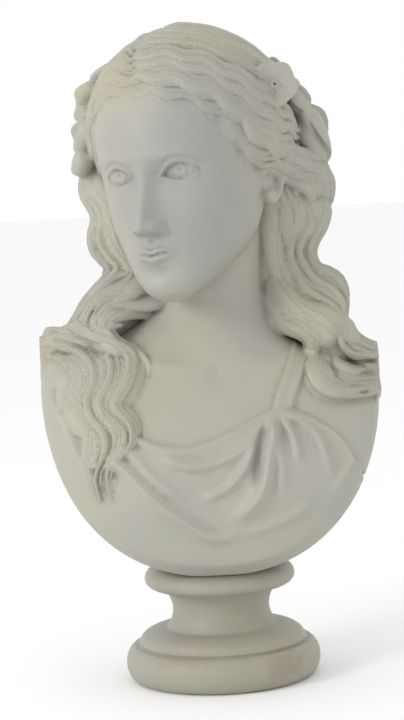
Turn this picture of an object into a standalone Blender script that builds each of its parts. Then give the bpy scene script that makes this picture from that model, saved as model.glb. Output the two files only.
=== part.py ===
"""A parian bust of a young woman with flowers in her hair, on a turned socle.

The socle is turned from its outline. The bust is modelled like clay: distances to simple
forms are joined on a fine block of cells, and the surface found there is thinned.
"""
import math

import bpy
import numpy as np
import openvdb

# Sizes in metres
BUST_HEIGHT = 0.2847
SEAT_GAP = 0.0003
SOCLE_HEIGHT = 0.060
BASE_RADIUS, BASE_HEIGHT = 0.0515, 0.0190
LIP_RADIUS = 0.0443
SCOTIA_RADIUS, SCOTIA_LOW, SCOTIA_HIGH = 0.0292, 0.0274, 0.0476
WAIST_RADIUS = 0.0255
RIM_RADIUS, RIM_HEIGHT = 0.0398, 0.0537

# Looks
BUST_COLOUR, SOCLE_COLOUR, ROUGHNESS = (0.44, 0.43, 0.37), (0.36, 0.34, 0.28), 0.5

# Fineness of the solid
CELL = 1.9
BUST_TRIANGLES = 7200
TURN_STEPS = 44

# From here the bust is laid out in millimetres over its seat

FAR = 40.0


def spline(at, knots):
    """A smooth curve through (position, value) knots, held level past both ends."""
    at = np.asarray(at, np.float32)
    place = np.array([k[0] for k in knots], np.float32)
    value = np.array([k[1] for k in knots], np.float32)
    rise = np.diff(value) / np.diff(place)
    slope = np.concatenate([rise[:1], (rise[:-1] + rise[1:]) / 2, rise[-1:]])
    at = np.clip(at, place[0], place[-1])
    i = np.clip(np.searchsorted(place, at, side="right") - 1, 0, len(place) - 2)
    span = (place[1:] - place[:-1])[i]
    t = (at - place[i]) / span
    a, b = value[i], value[i + 1]
    ma, mb = slope[i] * span, slope[i + 1] * span
    return (a * (1 + 2 * t) * (1 - t) ** 2 + ma * t * (1 - t) ** 2
            + b * t * t * (3 - 2 * t) - mb * t * t * (1 - t))


def through(points, count):
    """Evenly counted places along a smooth line through the given points."""
    points = np.asarray(points, float)
    run = np.concatenate([[0], np.cumsum(np.linalg.norm(np.diff(points, axis=0), axis=1))])
    at = np.linspace(0, run[-1], count)
    return np.stack([spline(at, list(zip(run, column))) for column in points.T], axis=1)


def ramp(value, start, end):
    t = np.clip((value - start) / (end - start), 0, 1)
    return t * t * (3 - 2 * t)


def union(a, b, soft):
    """Both shapes, with the crease between them filled to a soft radius."""
    h = np.maximum(soft - np.abs(a - b), 0) / soft
    return np.minimum(a, b) - h * h * soft / 4


def common(a, b, soft):
    """What both shapes share, with the edge between them rounded."""
    return -union(-a, -b, soft)


def ellipsoid(x, y, z, centre, radii):
    dx, dy, dz = x - centre[0], y - centre[1], z - centre[2]
    k0 = np.sqrt((dx / radii[0]) ** 2 + (dy / radii[1]) ** 2 + (dz / radii[2]) ** 2)
    k1 = np.sqrt((dx / radii[0] ** 2) ** 2 + (dy / radii[1] ** 2) ** 2 + (dz / radii[2] ** 2) ** 2)
    return k0 * (k0 - 1) / np.maximum(k1, 1e-6)


def level(shape, cell):
    """A field whose zero is the surface, turned into distances near that surface."""
    steep = np.gradient(shape, cell)
    return shape / np.maximum(np.sqrt(sum(s * s for s in steep)), 1e-4)


class Clay:
    """A block of small cells, each holding its distance to the modelled surface."""

    def __init__(self, low, high, cell):
        self.low, self.cell = np.array(low, float), cell
        self.counts = np.ceil((np.array(high) - self.low) / cell).astype(int) + 1
        self.depth = np.full(self.counts, FAR, np.float32)
        self.threads = []

    def window(self, low, high):
        cut, lines = [], []
        for axis in range(3):
            a = int(np.clip((low[axis] - self.low[axis]) // self.cell, 0, self.counts[axis] - 1))
            b = int(np.clip((high[axis] - self.low[axis]) // self.cell + 2, a + 1, self.counts[axis]))
            cut.append(slice(a, b))
            line = (self.low[axis] + self.cell * np.arange(a, b)).astype(np.float32)
            lines.append(line.reshape([-1 if k == axis else 1 for k in range(3)]))
        return tuple(cut), lines

    def add(self, low, high, field, soft):
        cut, (x, y, z) = self.window(low, high)
        self.depth[cut] = union(self.depth[cut], field(x, y, z), soft)

    def carve(self, low, high, field, soft):
        cut, (x, y, z) = self.window(low, high)
        self.depth[cut] = common(self.depth[cut], -field(x, y, z), soft)


# The head's own frame: to her left, forward, up
HEAD_AT = np.array([-2.0, -5.0, 203.0])
HEAD_TURN, HEAD_LEAN, HEAD_NOD = 27.0, 4.0, 4.0


def head_frame():
    turn, lean, nod = (math.radians(a) for a in (HEAD_TURN, HEAD_LEAN, HEAD_NOD))
    side, face, up = np.eye(3)[0], -np.eye(3)[1], np.eye(3)[2]
    face, up = math.cos(nod) * face - math.sin(nod) * up, math.cos(nod) * up + math.sin(nod) * face
    side, up = math.cos(lean) * side + math.sin(lean) * up, math.cos(lean) * up - math.sin(lean) * side
    swing = np.array([[math.cos(turn), math.sin(turn), 0], [-math.sin(turn), math.cos(turn), 0], [0, 0, 1]])
    return np.stack([swing @ side, swing @ face, swing @ up])


HEAD = head_frame()


def to_head(x, y, z):
    dx, dy, dz = x - HEAD_AT[0], y - HEAD_AT[1], z - HEAD_AT[2]
    return tuple(np.float32(r[0]) * dx + np.float32(r[1]) * dy + np.float32(r[2]) * dz for r in HEAD)


def from_head(points):
    return HEAD_AT + np.asarray(points) @ HEAD


# Face: plain classical oval, by height over the ear line
MASK_WIDTH = ((-56, 5), (-51, 13.5), (-46, 19.5), (-38, 26.5), (-28, 33), (-16, 38), (0, 41), (15, 42), (30, 42), (45, 39), (58, 33), (70, 20), (78, 5))
MASK_CENTRE = ((-56, 42), (-51, 38), (-46, 32), (-38, 22), (-31, 13), (-20, 8), (0, 6), (78, 6))
MASK_FRONT = ((-56, 44), (-52.5, 50.5), (-48, 53.5), (-42, 54.8), (-34, 55.8), (-28, 56.5), (-18, 56.2), (-6, 55), (4, 54.6), (12, 55.4), (20, 57), (30, 57.5), (42, 55), (52, 50), (62, 41), (70, 30), (78, 10))
MASK_BACK = ((-56, 3), (-51, 8), (-46, 14), (-38, 22), (-28, 22), (78, 20))
MASK_POWER = 2.25


def mask_front(across, z):
    centre = spline(z, MASK_CENTRE)
    share = np.clip(across / spline(z, MASK_WIDTH), 0, 0.995)
    return centre + (spline(z, MASK_FRONT) - centre) * (1 - share ** MASK_POWER) ** (1 / MASK_POWER)


def mound(a, z, at_a, at_z, wide, high):
    return np.exp(-((a - at_a) / wide) ** 2 - ((z - at_z) / high) ** 2)


EYE_AT, EYE_RADIUS, EYE_SPAN = (17.4, 10.5), 9.6, 18.6
RELIEF_LOW, RELIEF_STEP, RELIEF_COUNT = (-46.0, -62.0), 0.25, (369, 569)


def brow_and_cheeks(a, z):
    f = 1.1 * mound(a, z, 13, 19.5, 13, 4.5) + 0.9 * mound(a, z, 24, 18, 8, 4)
    f -= 1.0 * mound(a, z, 38, 24, 7, 12)
    arch = 17.6 + 3.2 * np.sin(np.clip((a - 5) / 26, 0, 1) * 2.4)
    f += .55 * np.exp(-((z - arch) / 1.5) ** 2) * ramp(a, 5, 9) * ramp(32 - a, 0, 9)
    f += 1.5 * mound(a, z, 24, -4, 10, 10) - 0.8 * mound(a, z, 23, -26, 8, 9)
    f -= 4.4 * mound(a, z, 17.0, 11, 10, 7) + 2.6 * mound(a, z, 8.2, 11, 4.0, 6.0)
    f += 2.2 * mound(a, z, 0, -28, 13, 9.5) - 2.0 * mound(a, z, 0, -37.4, 10, 3.0)
    return f + 2.8 * mound(a, z, 0, -45.5, 9.5, 6.2)


def nose(a, z):
    rise = spline(z, ((-24, 0), (-21.5, .5), (-19.8, 2.4), (-18.4, 6.6), (-17, 10.4), (-15, 13.0), (-12.8, 13.7), (-10, 12.9),
                      (-5, 10.7), (0, 8.3), (6, 5.5), (12, 3.2), (18, 1.4), (25, 0)))
    half = spline(z, ((-22, 4.6), (-17, 5.3), (-13, 5.4), (-9, 4.7), (0, 4.3), (8, 4.3), (16, 6), (25, 10)))
    f = rise / (1 + (a / half) ** 2.5)
    f += 3.9 * np.exp(-(np.abs(a - 6.4) / 2.5) ** 2.2 - (np.abs(z + 14.8) / 3.3) ** 2.4)
    f -= 2.2 * mound(a, z, 3.9, -18.6, 1.9, 1.1)
    return f - 0.8 * mound(a, z, 9.9, -15.5, 1.4, 3.6)


def mouth(a, z):
    f = 0.35 * mound(a, z, 2.6, -22.6, 1.1, 2.4) - 0.7 * mound(a, z, 0, -22.4, 1.5, 2.4)
    t = np.clip(a / 12.0, 0, 1)
    line = -29 - 0.6 * np.exp(-(a / 2.4) ** 2) + 0.4 * np.exp(-((a - 5.2) / 2.6) ** 2) + 0.5 * ramp(t, .75, 1)
    full = 1 - t ** 2.4
    top = line + 4.4 * full ** .9 * (1 - .16 * np.exp(-(a / 1.9) ** 2))
    low = line - 5.4 * full ** .8
    v = np.clip((z - line) / np.maximum(top - line, .3), 0, 1)
    f += 5.2 * full ** .8 * np.where(z > line, v ** .6 * (1 - v) ** 1.15, 0)
    v = np.clip((line - z) / np.maximum(line - low, .3), 0, 1)
    f += 6.0 * full ** .8 * np.where(z <= line, v ** .55 * (1 - v) ** 1.2, 0)
    f -= 0.7 * full ** .5 * np.exp(-((z - line) / 1.1) ** 2)
    return f - 0.7 * mound(a, z, 12.8, -28.8, 2.4, 2.2)


def eye(a, z, f):
    """Lids laid over a ball, with the opening between them, the iris ring and the pupil."""
    from_centre = np.hypot(a - EYE_AT[0], z - EYE_AT[1])
    share = (a - EYE_AT[0]) / EYE_SPAN + .5
    s = np.clip(share, 0, 1)
    axis = EYE_AT[1] - 1.1 + 1.5 * s
    top = axis + 5.5 * np.maximum(np.sin(np.pi * s ** .88), 0) ** .85
    low = axis - 3.4 * np.maximum(np.sin(np.pi * s ** 1.15), 0) ** .9
    opening = np.minimum(top - z, z - low)
    past = np.where(share < 0, share, share - 1) * EYE_SPAN
    opening = np.where((share < 0) | (share > 1), -np.hypot(past, z - axis), opening)
    seat = float(mask_front(np.float32(EYE_AT[0]), np.float32(EYE_AT[1]))) - 2.9 - EYE_RADIUS
    lid = seat + np.sqrt(np.maximum((EYE_RADIUS + 1.35 * ramp(-opening, -.45, .9)) ** 2 - from_centre ** 2, 1))
    lid -= 50 * ramp(from_centre, EYE_RADIUS * .9, EYE_RADIUS * 1.6)
    outer = -union(-f, -lid, 1.8)
    outer -= 0.7 * np.exp(-((z - top - 3.2) / .8) ** 2) * ramp(share, 0, .25) * ramp(1.15 - share, 0, .25)
    ball = seat - .4 + np.sqrt(np.maximum(EYE_RADIUS ** 2 - from_centre ** 2, 1))
    gaze = np.hypot(a - EYE_AT[0], z - EYE_AT[1] - .6)
    ball -= 0.45 * np.exp(-((gaze - 3.9) / .6) ** 2) + 1.3 * np.exp(-(np.hypot(a - EYE_AT[0], z - EYE_AT[1] - 1.1) / 1.35) ** 4)
    return outer + (ball - outer) * ramp(opening, -.8, .8)


def face_relief():
    across = RELIEF_LOW[0] + RELIEF_STEP * np.arange(RELIEF_COUNT[0], dtype=np.float32)
    height = RELIEF_LOW[1] + RELIEF_STEP * np.arange(RELIEF_COUNT[1], dtype=np.float32)
    z, a = np.meshgrid(height, np.abs(across))
    base = mask_front(a, z)
    return (eye(a, z, base + brow_and_cheeks(a, z) + nose(a, z) + mouth(a, z)) - base).astype(np.float32)


def sampled(table, low, step, x, z):
    i = np.clip((x - low[0]) / step, 0, table.shape[0] - 1.01)
    j = np.clip((z - low[1]) / step, 0, table.shape[1] - 1.01)
    a, b = i.astype(np.int32), j.astype(np.int32)
    u, v = i - a, j - b
    return ((table[a, b] * (1 - u) + table[a + 1, b] * u) * (1 - v)
            + (table[a, b + 1] * (1 - u) + table[a + 1, b + 1] * u) * v)


def face_field(cell):
    table = face_relief()

    def field(x, y, z):
        side, front, up = to_head(x, y, z)
        front = front - sampled(table, RELIEF_LOW, RELIEF_STEP, side, up) * ramp(front, 14, 30)
        centre = spline(up, MASK_CENTRE)
        depth = np.where(front > centre, spline(up, MASK_FRONT) - centre, spline(up, MASK_BACK))
        g = ((np.abs(side) / spline(up, MASK_WIDTH)) ** MASK_POWER
             + (np.abs(front - centre) / depth) ** MASK_POWER) ** (1 / MASK_POWER) - 1
        return level(np.maximum(g, np.maximum(-55.5 - up, up - 77.5) / 20), cell)
    return field


SKULL_AT, SKULL = np.array([0.0, -3.0, 25.0]), np.array([44.0, 56.0, 51.0])
HAIR = np.array([52.0, 61.0, 56.0])
HAIRLINE = ((-40, -14), (-20, -12), (0, -1), (14, 22), (34, 33), (53, 46), (62, 60), (90, 60))


def skull_field(x, y, z):
    return ellipsoid(*to_head(x, y, z), SKULL_AT, SKULL)


def hair_cap(x, y, z):
    """The mass of hair on the skull, behind the hairline."""
    side, front, up = to_head(x, y, z)
    cap = ellipsoid(side, front, up, SKULL_AT, HAIR - 4.5)
    return common(cap, (front - spline(up, HAIRLINE)) * 0.8, 4)


def neck_field(cell):
    def field(x, y, z):
        half = spline(z, ((80, 34), (105, 32.5), (125, 30), (150, 29.0), (175, 31), (200, 33)))
        across = spline(z, ((80, 3), (120, 3), (190, -1)))
        deep = spline(z, ((80, 14), (110, 10), (150, 6), (190, 4)))
        g = np.sqrt(((x - across) / half) ** 2 + ((y - deep) / (half * .97)) ** 2) - 1
        return level(np.maximum(g, (z - 200) / 30), cell)
    return field


CHEST_WIDTH = ((-20, 95), (0, 96), (40, 99), (60, 100), (80, 99), (92, 96), (101, 89), (109, 77), (116, 62), (123, 47), (131, 33), (141, 21), (155, 11), (176, 5))
CHEST_FRONT = ((-20, 36), (0, 43), (10, 48), (25, 53), (40, 55.5), (60, 53), (80, 46), (95, 38.5), (105, 33), (114, 28), (123, 22.5), (131, 16.5), (141, 11), (155, 7), (176, 4))
CHEST_BACK = ((-20, 20), (0, 24), (30, 34), (60, 40), (85, 42), (100, 40), (112, 36), (123, 30), (132, 21), (141, 14), (155, 8), (176, 4))
CHEST_POWER, SHOULDER_SLOPE = 2.3, 0.09


def chest_height(x, z):
    return z + SHOULDER_SLOPE * x * ramp(z, 40, 90)


def chest_front(x, z):
    z = chest_height(x, z)
    share = np.clip(np.abs(x) / spline(z, CHEST_WIDTH), 0, .995)
    return -spline(z, CHEST_FRONT) * (1 - share ** CHEST_POWER) ** (1 / CHEST_POWER)


def chest_field(cell, relief):
    def field(x, y, z):
        height = chest_height(x, z) + 0 * y
        y = y + relief(x, z) * ramp(-y, 0, 16)
        depth = np.where(y < 0, spline(height, CHEST_FRONT), spline(height, CHEST_BACK))
        g = ((np.abs(x) / spline(height, CHEST_WIDTH)) ** CHEST_POWER
             + (np.abs(y) / depth) ** CHEST_POWER) ** (1 / CHEST_POWER) - 1
        return level(g, cell)
    return field


CUT_AT, CUT_HALF, CUT_POWER = (0.3, 105.0), 89.5, 2.15
SEAT_DEPTH = 1.0


def cut_field(cell):
    """The rounded outline that the bust is cut to, seen from the front; it would end a little below the seat."""
    def field(x, y, z):
        g = ((np.abs(x - CUT_AT[0]) / CUT_HALF) ** CUT_POWER
             + (np.maximum(CUT_AT[1] - z, 0) / (CUT_AT[1] + SEAT_DEPTH)) ** CUT_POWER) ** (1 / CUT_POWER) - 1
        return level(g + 0 * y, cell)
    return field


def scoops(x, y, z):
    """The two hollows in the back, left and right of the post."""
    return np.minimum(ellipsoid(x, y, z, (47, 46, 18), (32, 40, 72)), ellipsoid(x, y, z, (-47, 46, 18), (32, 40, 72)))


def bevelled(body, wall, z):
    size = spline(z, ((0, 8.5), (40, 5), (90, 2.5)))
    return common(common(body, wall, 1.0), (body + wall + size) * math.sqrt(.5), 1.0)


def on_head(turn, rise, lift=0.0):
    """A place on the hair, by degrees round from the face and up, raised by a lift."""
    a, e = np.radians(turn), np.radians(rise)
    way = np.stack([np.sin(a) * np.cos(e), np.cos(a) * np.cos(e), np.sin(e)], axis=-1)
    return from_head(SKULL_AT + (HAIR + np.asarray(lift)[..., None]) * way)


def outward(points):
    """The way out of the hair at each place: away from the head, or the neck below it."""
    local = (points - HEAD_AT) @ HEAD.T - SKULL_AT
    head = (local / HAIR ** 2) @ HEAD
    head /= np.linalg.norm(head, axis=1)[:, None]
    low = points - np.array([0, 22, 0])
    low[:, 2] = 25
    low /= np.linalg.norm(low, axis=1)[:, None]
    x, z = np.clip(points[:, 0], -84, 84), points[:, 2]
    chest = np.stack([(chest_front(x + 1, z) - chest_front(x - 1, z)) / 2, np.full(len(x), -1.0), (chest_front(x, z + 1) - chest_front(x, z - 1)) / 2], axis=1)
    chest /= np.linalg.norm(chest, axis=1)[:, None]
    share = (ramp(z, 136, 116) * ramp(-points[:, 1], -4, 6))[:, None]
    low = chest * share + low * (1 - share)
    share = ramp(z, 150, 200)[:, None]
    mix = head * share + low * (1 - share)
    return mix / np.linalg.norm(mix, axis=1)[:, None]


def lock(clay, points, wide, thick, wave=(0, 20, 0), hairs=(0, 5, 0), soft=1.0, tip=.25, root=.6):
    """One lock of hair: a flat oval swept along a line, with waves and ribs."""
    length = np.linalg.norm(np.diff(np.asarray(points, float), axis=0), axis=1).sum()
    count = max(4, int(length / 3.0))
    line = through(points, count)
    at = np.linspace(0, length, count)
    way = np.gradient(line, axis=0)
    way /= np.linalg.norm(way, axis=1)[:, None]
    out = outward(line)
    side = np.cross(way, out)
    side /= np.linalg.norm(side, axis=1)[:, None]
    swing = np.sin(2 * np.pi * (at / wave[1] + wave[2]))
    line = line + side * (wave[0] * swing)[:, None]
    way = np.gradient(line, axis=0)
    way /= np.linalg.norm(way, axis=1)[:, None]
    side = np.cross(way, out)
    side /= np.linalg.norm(side, axis=1)[:, None]
    out = np.cross(side, way)
    share = at / length
    size = np.minimum(root + (1 - root) * ramp(share, 0, .18), tip + (1 - tip) * ramp(1 - share, 0, .4))
    wide = np.interp(share, np.linspace(0, 1, np.size(wide)), np.atleast_1d(wide)) * size
    size = thick * size
    reach = wide.max() + thick + 2.5 * clay.cell
    for i in range(count - 1):
        low = np.minimum(line[i], line[i + 1]) - reach
        high = np.maximum(line[i], line[i + 1]) + reach
        cut, (x, y, z) = clay.window(low, high)
        step = line[i + 1] - line[i]
        dx, dy, dz = x - line[i][0], y - line[i][1], z - line[i][2]
        ahead = dx * way[i][0] + dy * way[i][1] + dz * way[i][2]
        left = (step[0] - dx) * way[i + 1][0] + (step[1] - dy) * way[i + 1][1] + (step[2] - dz) * way[i + 1][2]
        s = np.clip(ahead / np.maximum(ahead + left, .3 * math.sqrt(step @ step)), 0, 1).astype(np.float32)
        px, py, pz = dx - s * step[0], dy - s * step[1], dz - s * step[2]
        b0, b1, n0, n1 = side[i], side[i + 1] - side[i], out[i], out[i + 1] - out[i]
        u = px * b0[0] + py * b0[1] + pz * b0[2] + s * (px * b1[0] + py * b1[1] + pz * b1[2])
        v = px * n0[0] + py * n0[1] + pz * n0[2] + s * (px * n1[0] + py * n1[1] + pz * n1[2])
        past = np.minimum(np.minimum(ahead, left), 0)
        w = wide[i] + s * (wide[i + 1] - wide[i])
        h = size[i] + s * (size[i + 1] - size[i])
        if hairs[0]:
            turn = hairs[1] * np.pi * u / w + hairs[2] + 1.2 * np.sin((at[i] + s * 3) / 9 + hairs[2])
            v = v + hairs[0] * ramp(v, -1, 1) * (np.abs(np.sin(turn / 2)) * -1.6 + .8 + .3 * np.sin(turn * .37 + 1))* np.clip(1.2 - np.abs(u / w), 0, 1)
        k0 = np.sqrt((u / w) ** 2 + (v / h) ** 2 + (past / h) ** 2) + 1e-6
        k1 = np.sqrt((u / w ** 2) ** 2 + (v / h ** 2) ** 2 + (past / h ** 2) ** 2) + 1e-9
        d = k0 * (k0 - 1) / k1
        clay.depth[cut] = union(clay.depth[cut], d, soft)
    return line, side


# Dress: the neckline, the strap and the folds, as (across, height) on the chest
NECKLINE = ((-90, 118), (-78, 106), (-65, 93), (-52, 83), (-39, 77), (-26, 72), (-15, 70.5), (-4, 72), (9, 77), (22, 83),
            (35, 87.5), (41, 86), (48, 84), (56, 79), (63, 74), (70, 65), (76, 52), (90, 20))
STRAP = ((36, 85), (40, 95), (45, 106), (50, 118), (53, 130))
FOLDS = (
    # height, width at the start and the end, then the way it runs
    (4.2, 3.2, 4.6, ((33, 86), (29, 68), (26, 54), (22, 44), (14, 36), (5, 29))),
    (-2.6, 2.0, 3.0, ((28, 80), (24, 72), (22, 60), (21, 47))),
    (2.2, 2.0, 2.6, ((35, 85), (38, 80), (42, 71), (44, 58))),
    (2.2, 1.8, 3.0, ((36, 85), (46, 80), (54, 73), (58, 62), (61, 50))),
    (1.8, 1.8, 2.6, ((38, 85), (51, 82), (65, 73), (73, 60))),
    (2.0, 2.2, 2.6, ((-28, 67), (-11, 61), (1, 62), (13, 67), (22, 74), (30, 83))),
    (2.2, 3.0, 2.4, ((-8, 43), (7, 50), (14, 57), (19, 65), (27, 79))),
    (3.2, 3.4, 3.2, ((-60, 71), (-45, 59), (-32, 45), (-17, 33), (-2, 23), (8, 24), (15, 33))),
    (1.8, 3.0, 2.8, ((-50, 74), (-40, 66), (-33, 58), (-24, 50), (-12, 43))),
    (1.6, 2.4, 3.2, ((30, 84), (33, 70), (35, 55), (33, 42))),
    (1.4, 3.0, 3.4, ((50, 40), (38, 32), (24, 27), (8, 24))),
    (1.6, 3.0, 3.0, ((-86, 100), (-78, 84), (-70, 66), (-58, 48))),
    (1.4, 2.6, 3.0, ((84, 84), (78, 70), (68, 52), (56, 38))),
)
DRESS_LOW, DRESS_STEP, DRESS_COUNT = (-98.0, -6.0), 0.5, (393, 293)


def along(path, x, z):
    """How far each place is from a path, and how far along it the nearest point lies."""
    line = through(path, 60)
    near, share = np.full(x.shape, 999, np.float32), np.zeros(x.shape, np.float32)
    for i in range(len(line) - 1):
        step = line[i + 1] - line[i]
        t = np.clip(((x - line[i][0]) * step[0] + (z - line[i][1]) * step[1]) / (step @ step), 0, 1)
        away = np.hypot(x - line[i][0] - t * step[0], z - line[i][1] - t * step[1])
        closer = away < near
        near, share = np.where(closer, away, near), np.where(closer, (i + t) / 59, share)
    return near, share


def dress_relief():
    across = DRESS_LOW[0] + DRESS_STEP * np.arange(DRESS_COUNT[0], dtype=np.float32)
    height = DRESS_LOW[1] + DRESS_STEP * np.arange(DRESS_COUNT[1], dtype=np.float32)
    z, x = np.meshgrid(height, across)
    under = spline(x, NECKLINE) - z
    strap, place = along(STRAP, x, z)
    cloth = np.maximum(ramp(under, -.6, .9), ramp(5.0 - strap, -.5, .9) * ramp(z, 84, 88))
    f = 1.5 * cloth + .9 * np.exp(-((under - 1.6) / 1.5) ** 2)
    f += .7 * cloth * np.exp(-((strap - 3.2) / 1.1) ** 2) * ramp(z, 86, 92)
    for high, thin, broad, path in FOLDS:
        away, place = along(path, x, z)
        size = .88 * (thin + (broad - thin) * place)
        ends = ramp(place, -.02, .15) * ramp(1 - place, -.02, .3)
        f += 1.2 * high * ends * ramp(under, -1, 3) * np.exp(-(away / size) ** 2)
    # collar bones and the hollow of the throat
    f += 1.6 * np.exp(-((z - 108 - .10 * np.abs(x - 3)) / 4) ** 2 - ((np.abs(x - 3) - 24) / 15) ** 2)
    f -= 1.8 * np.exp(-((x - 3) / 5) ** 2 - ((z - 107) / 5) ** 2)
    f += 3.5 * np.exp(-((np.abs(x - 1) - 32) / 21) ** 2 - ((z - 52) / 20) ** 2)
    return f.astype(np.float32)


# Hair: each sheet is given by the lines that its strands run between, as places over the seat
LEFT_FALL = (
    ((37, -12, 203), (39, -4, 191), (41, 0, 180), (42, 0, 171), (43, -2, 162), (46, -5, 153), (50, -8, 145), (56, -11, 138), (63, -13, 132), (68, -15, 126), (70, -17, 119), (76, -14, 112), (84, -9, 109), (95, -3, 106)),
    ((43, -9, 206), (47, -1, 193), (51, 2, 182), (49, 1, 172), (48, 0, 164), (51, -3, 156), (55, -6, 148), (62, -8, 142), (67, -10, 136), (69, -13, 127), (72, -14, 118), (79, -11, 113), (85, -7, 110), (95, -2, 108)),
    ((50, -2, 207), (54, 4, 195), (58, 5, 184), (56, 4, 175), (54, 3, 166), (56, 0, 158), (61, -2, 152), (66, -4, 146), (70, -7, 137), (72, -10, 128), (76, -10, 119), (81, -8, 115), (86, -5, 112), (95, 0, 109)),
    ((57, 8, 206), (60, 10, 196), (65, 9, 186), (64, 8, 177), (61, 7, 168), (61, 5, 161), (64, 2, 155), (69, 1, 151), (73, -1, 141), (73, -4, 129), (78, -5, 121), (82, -5, 117), (86, -3, 114), (95, 2, 110)),
)
LEFT_NECK = (
    ((35, 8, 196), (37, 2, 184), (39, -1, 172), (40, -3, 160), (45, -7, 149), (52, -10, 141)),
    ((32, 12, 194), (34, 5, 180), (35, 1, 167), (36, -2, 156), (40, -6, 146), (47, -10, 139)),
    ((30, 15, 190), (32, 8, 176), (33, 4, 162), (34, 0, 150), (38, -5, 141), (45, -10, 136)),
)
LEFT_CURL = (
    ((33, 6, 157), (38, -3, 152), (43, -8, 146), (48, -12, 140), (55, -15, 136), (63, -17, 133), (69, -19, 127), (70, -21, 119), (70, -21, 111), (75, -18, 106), (84, -11, 103), (95, -3, 101)),
    ((32, 6, 154), (36, -4, 149), (40, -9, 142), (45, -13, 136), (52, -17, 132), (59, -20, 129), (65, -22, 123), (66, -24, 115), (65, -25, 107), (71, -22, 101), (82, -13, 99), (95, -3, 97)),
    ((31, 6, 151), (34, -3, 145), (38, -9, 138), (43, -14, 131), (50, -18, 127), (56, -21, 124), (60, -24, 117), (61, -26, 109), (62, -27, 101), (69, -25, 96), (81, -15, 95), (95, -3, 94)),
    ((30, 6, 147), (33, -2, 142), (36, -9, 134), (42, -15, 127), (49, -19, 123), (54, -22, 119), (56, -25, 111), (57, -27, 103), (60, -29, 96), (68, -27, 92), (80, -17, 91), (95, -4, 91)),
)
LEFT_ROLL = (
    ((33, -33, 214), (38, -29, 212), (44, -21, 208), (50, -10, 205), (56, -2, 203), (61, 4, 197), (62, 10, 189), (58, 14, 182)),
    ((34, -31, 219), (40, -27, 216), (47, -18, 211), (54, -7, 208), (61, 1, 206), (66, 7, 199), (66, 12, 190), (60, 16, 181)),
    ((38, -28, 223), (44, -23, 220), (52, -14, 214), (59, -3, 211), (66, 6, 208), (70, 12, 200), (69, 16, 190), (62, 18, 181)),
)
RIGHT_FALL = (
    ((-55, 14, 224), (-59, 8, 214), (-61, 4, 202), (-57, 0, 189), (-58, -2, 177), (-56, -3, 168), (-51, -4, 161), (-56, -5, 153), (-63, -5, 144), (-69, -5, 135), (-76, -4, 128), (-85, -2, 121), (-95, 2, 117)),
    ((-53, 8, 224), (-55, 4, 214), (-56, 0, 202), (-53, -4, 189), (-53, -6, 178), (-51, -8, 169), (-48, -9, 161), (-53, -9, 154), (-59, -9, 146), (-66, -9, 137), (-73, -8, 129), (-83, -5, 120), (-95, 0, 115)),
    ((-51, 4, 222), (-52, 0, 211), (-51, -4, 199), (-48, -8, 187), (-48, -10, 177), (-46, -11, 168), (-43, -12, 161), (-49, -12, 155), (-56, -13, 148), (-62, -13, 140), (-69, -12, 131), (-78, -9, 122), (-95, -2, 113)),
)
RIGHT_CHEEK = (
    ((-51, 1, 212), (-50, -4, 199), (-47, -9, 185), (-45, -11, 172), (-41, -12, 164), (-39, -13, 158), (-44, -15, 153), (-52, -16, 149), (-59, -16, 144), (-65, -16, 137), (-70, -15, 128)),
    ((-50, 2, 208), (-49, -4, 195), (-45, -8, 180), (-41, -10, 167), (-35, -10, 161), (-33, -11, 156), (-37, -14, 151), (-46, -17, 148), (-54, -19, 146), (-60, -20, 141), (-64, -20, 134)),
    ((-49, 4, 204), (-48, -3, 192), (-44, -6, 176), (-38, -8, 164), (-32, -8, 158), (-28, -9, 152), (-31, -13, 147), (-40, -17, 145), (-50, -20, 144), (-57, -22, 141), (-61, -22, 135)),
)
RIGHT_NECK = (
    ((-25, 12, 157), (-28, 4, 152), (-31, -3, 148), (-35, -8, 145), (-42, -13, 144), (-50, -17, 143), (-56, -19, 141), (-60, -20, 135), (-58, -22, 129), (-53, -24, 124), (-46, -27, 120)),
    ((-26, 11, 153), (-29, 3, 149), (-31, -4, 145), (-35, -9, 142), (-42, -14, 141), (-49, -18, 141), (-54, -20, 138), (-57, -22, 133), (-55, -24, 129), (-49, -26, 125), (-44, -28, 120)),
    ((-27, 10, 149), (-29, 2, 146), (-31, -5, 141), (-35, -10, 139), (-41, -15, 139), (-48, -19, 138), (-52, -21, 136), (-54, -23, 132), (-52, -25, 129), (-48, -27, 125), (-43, -29, 120)),
)
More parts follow.
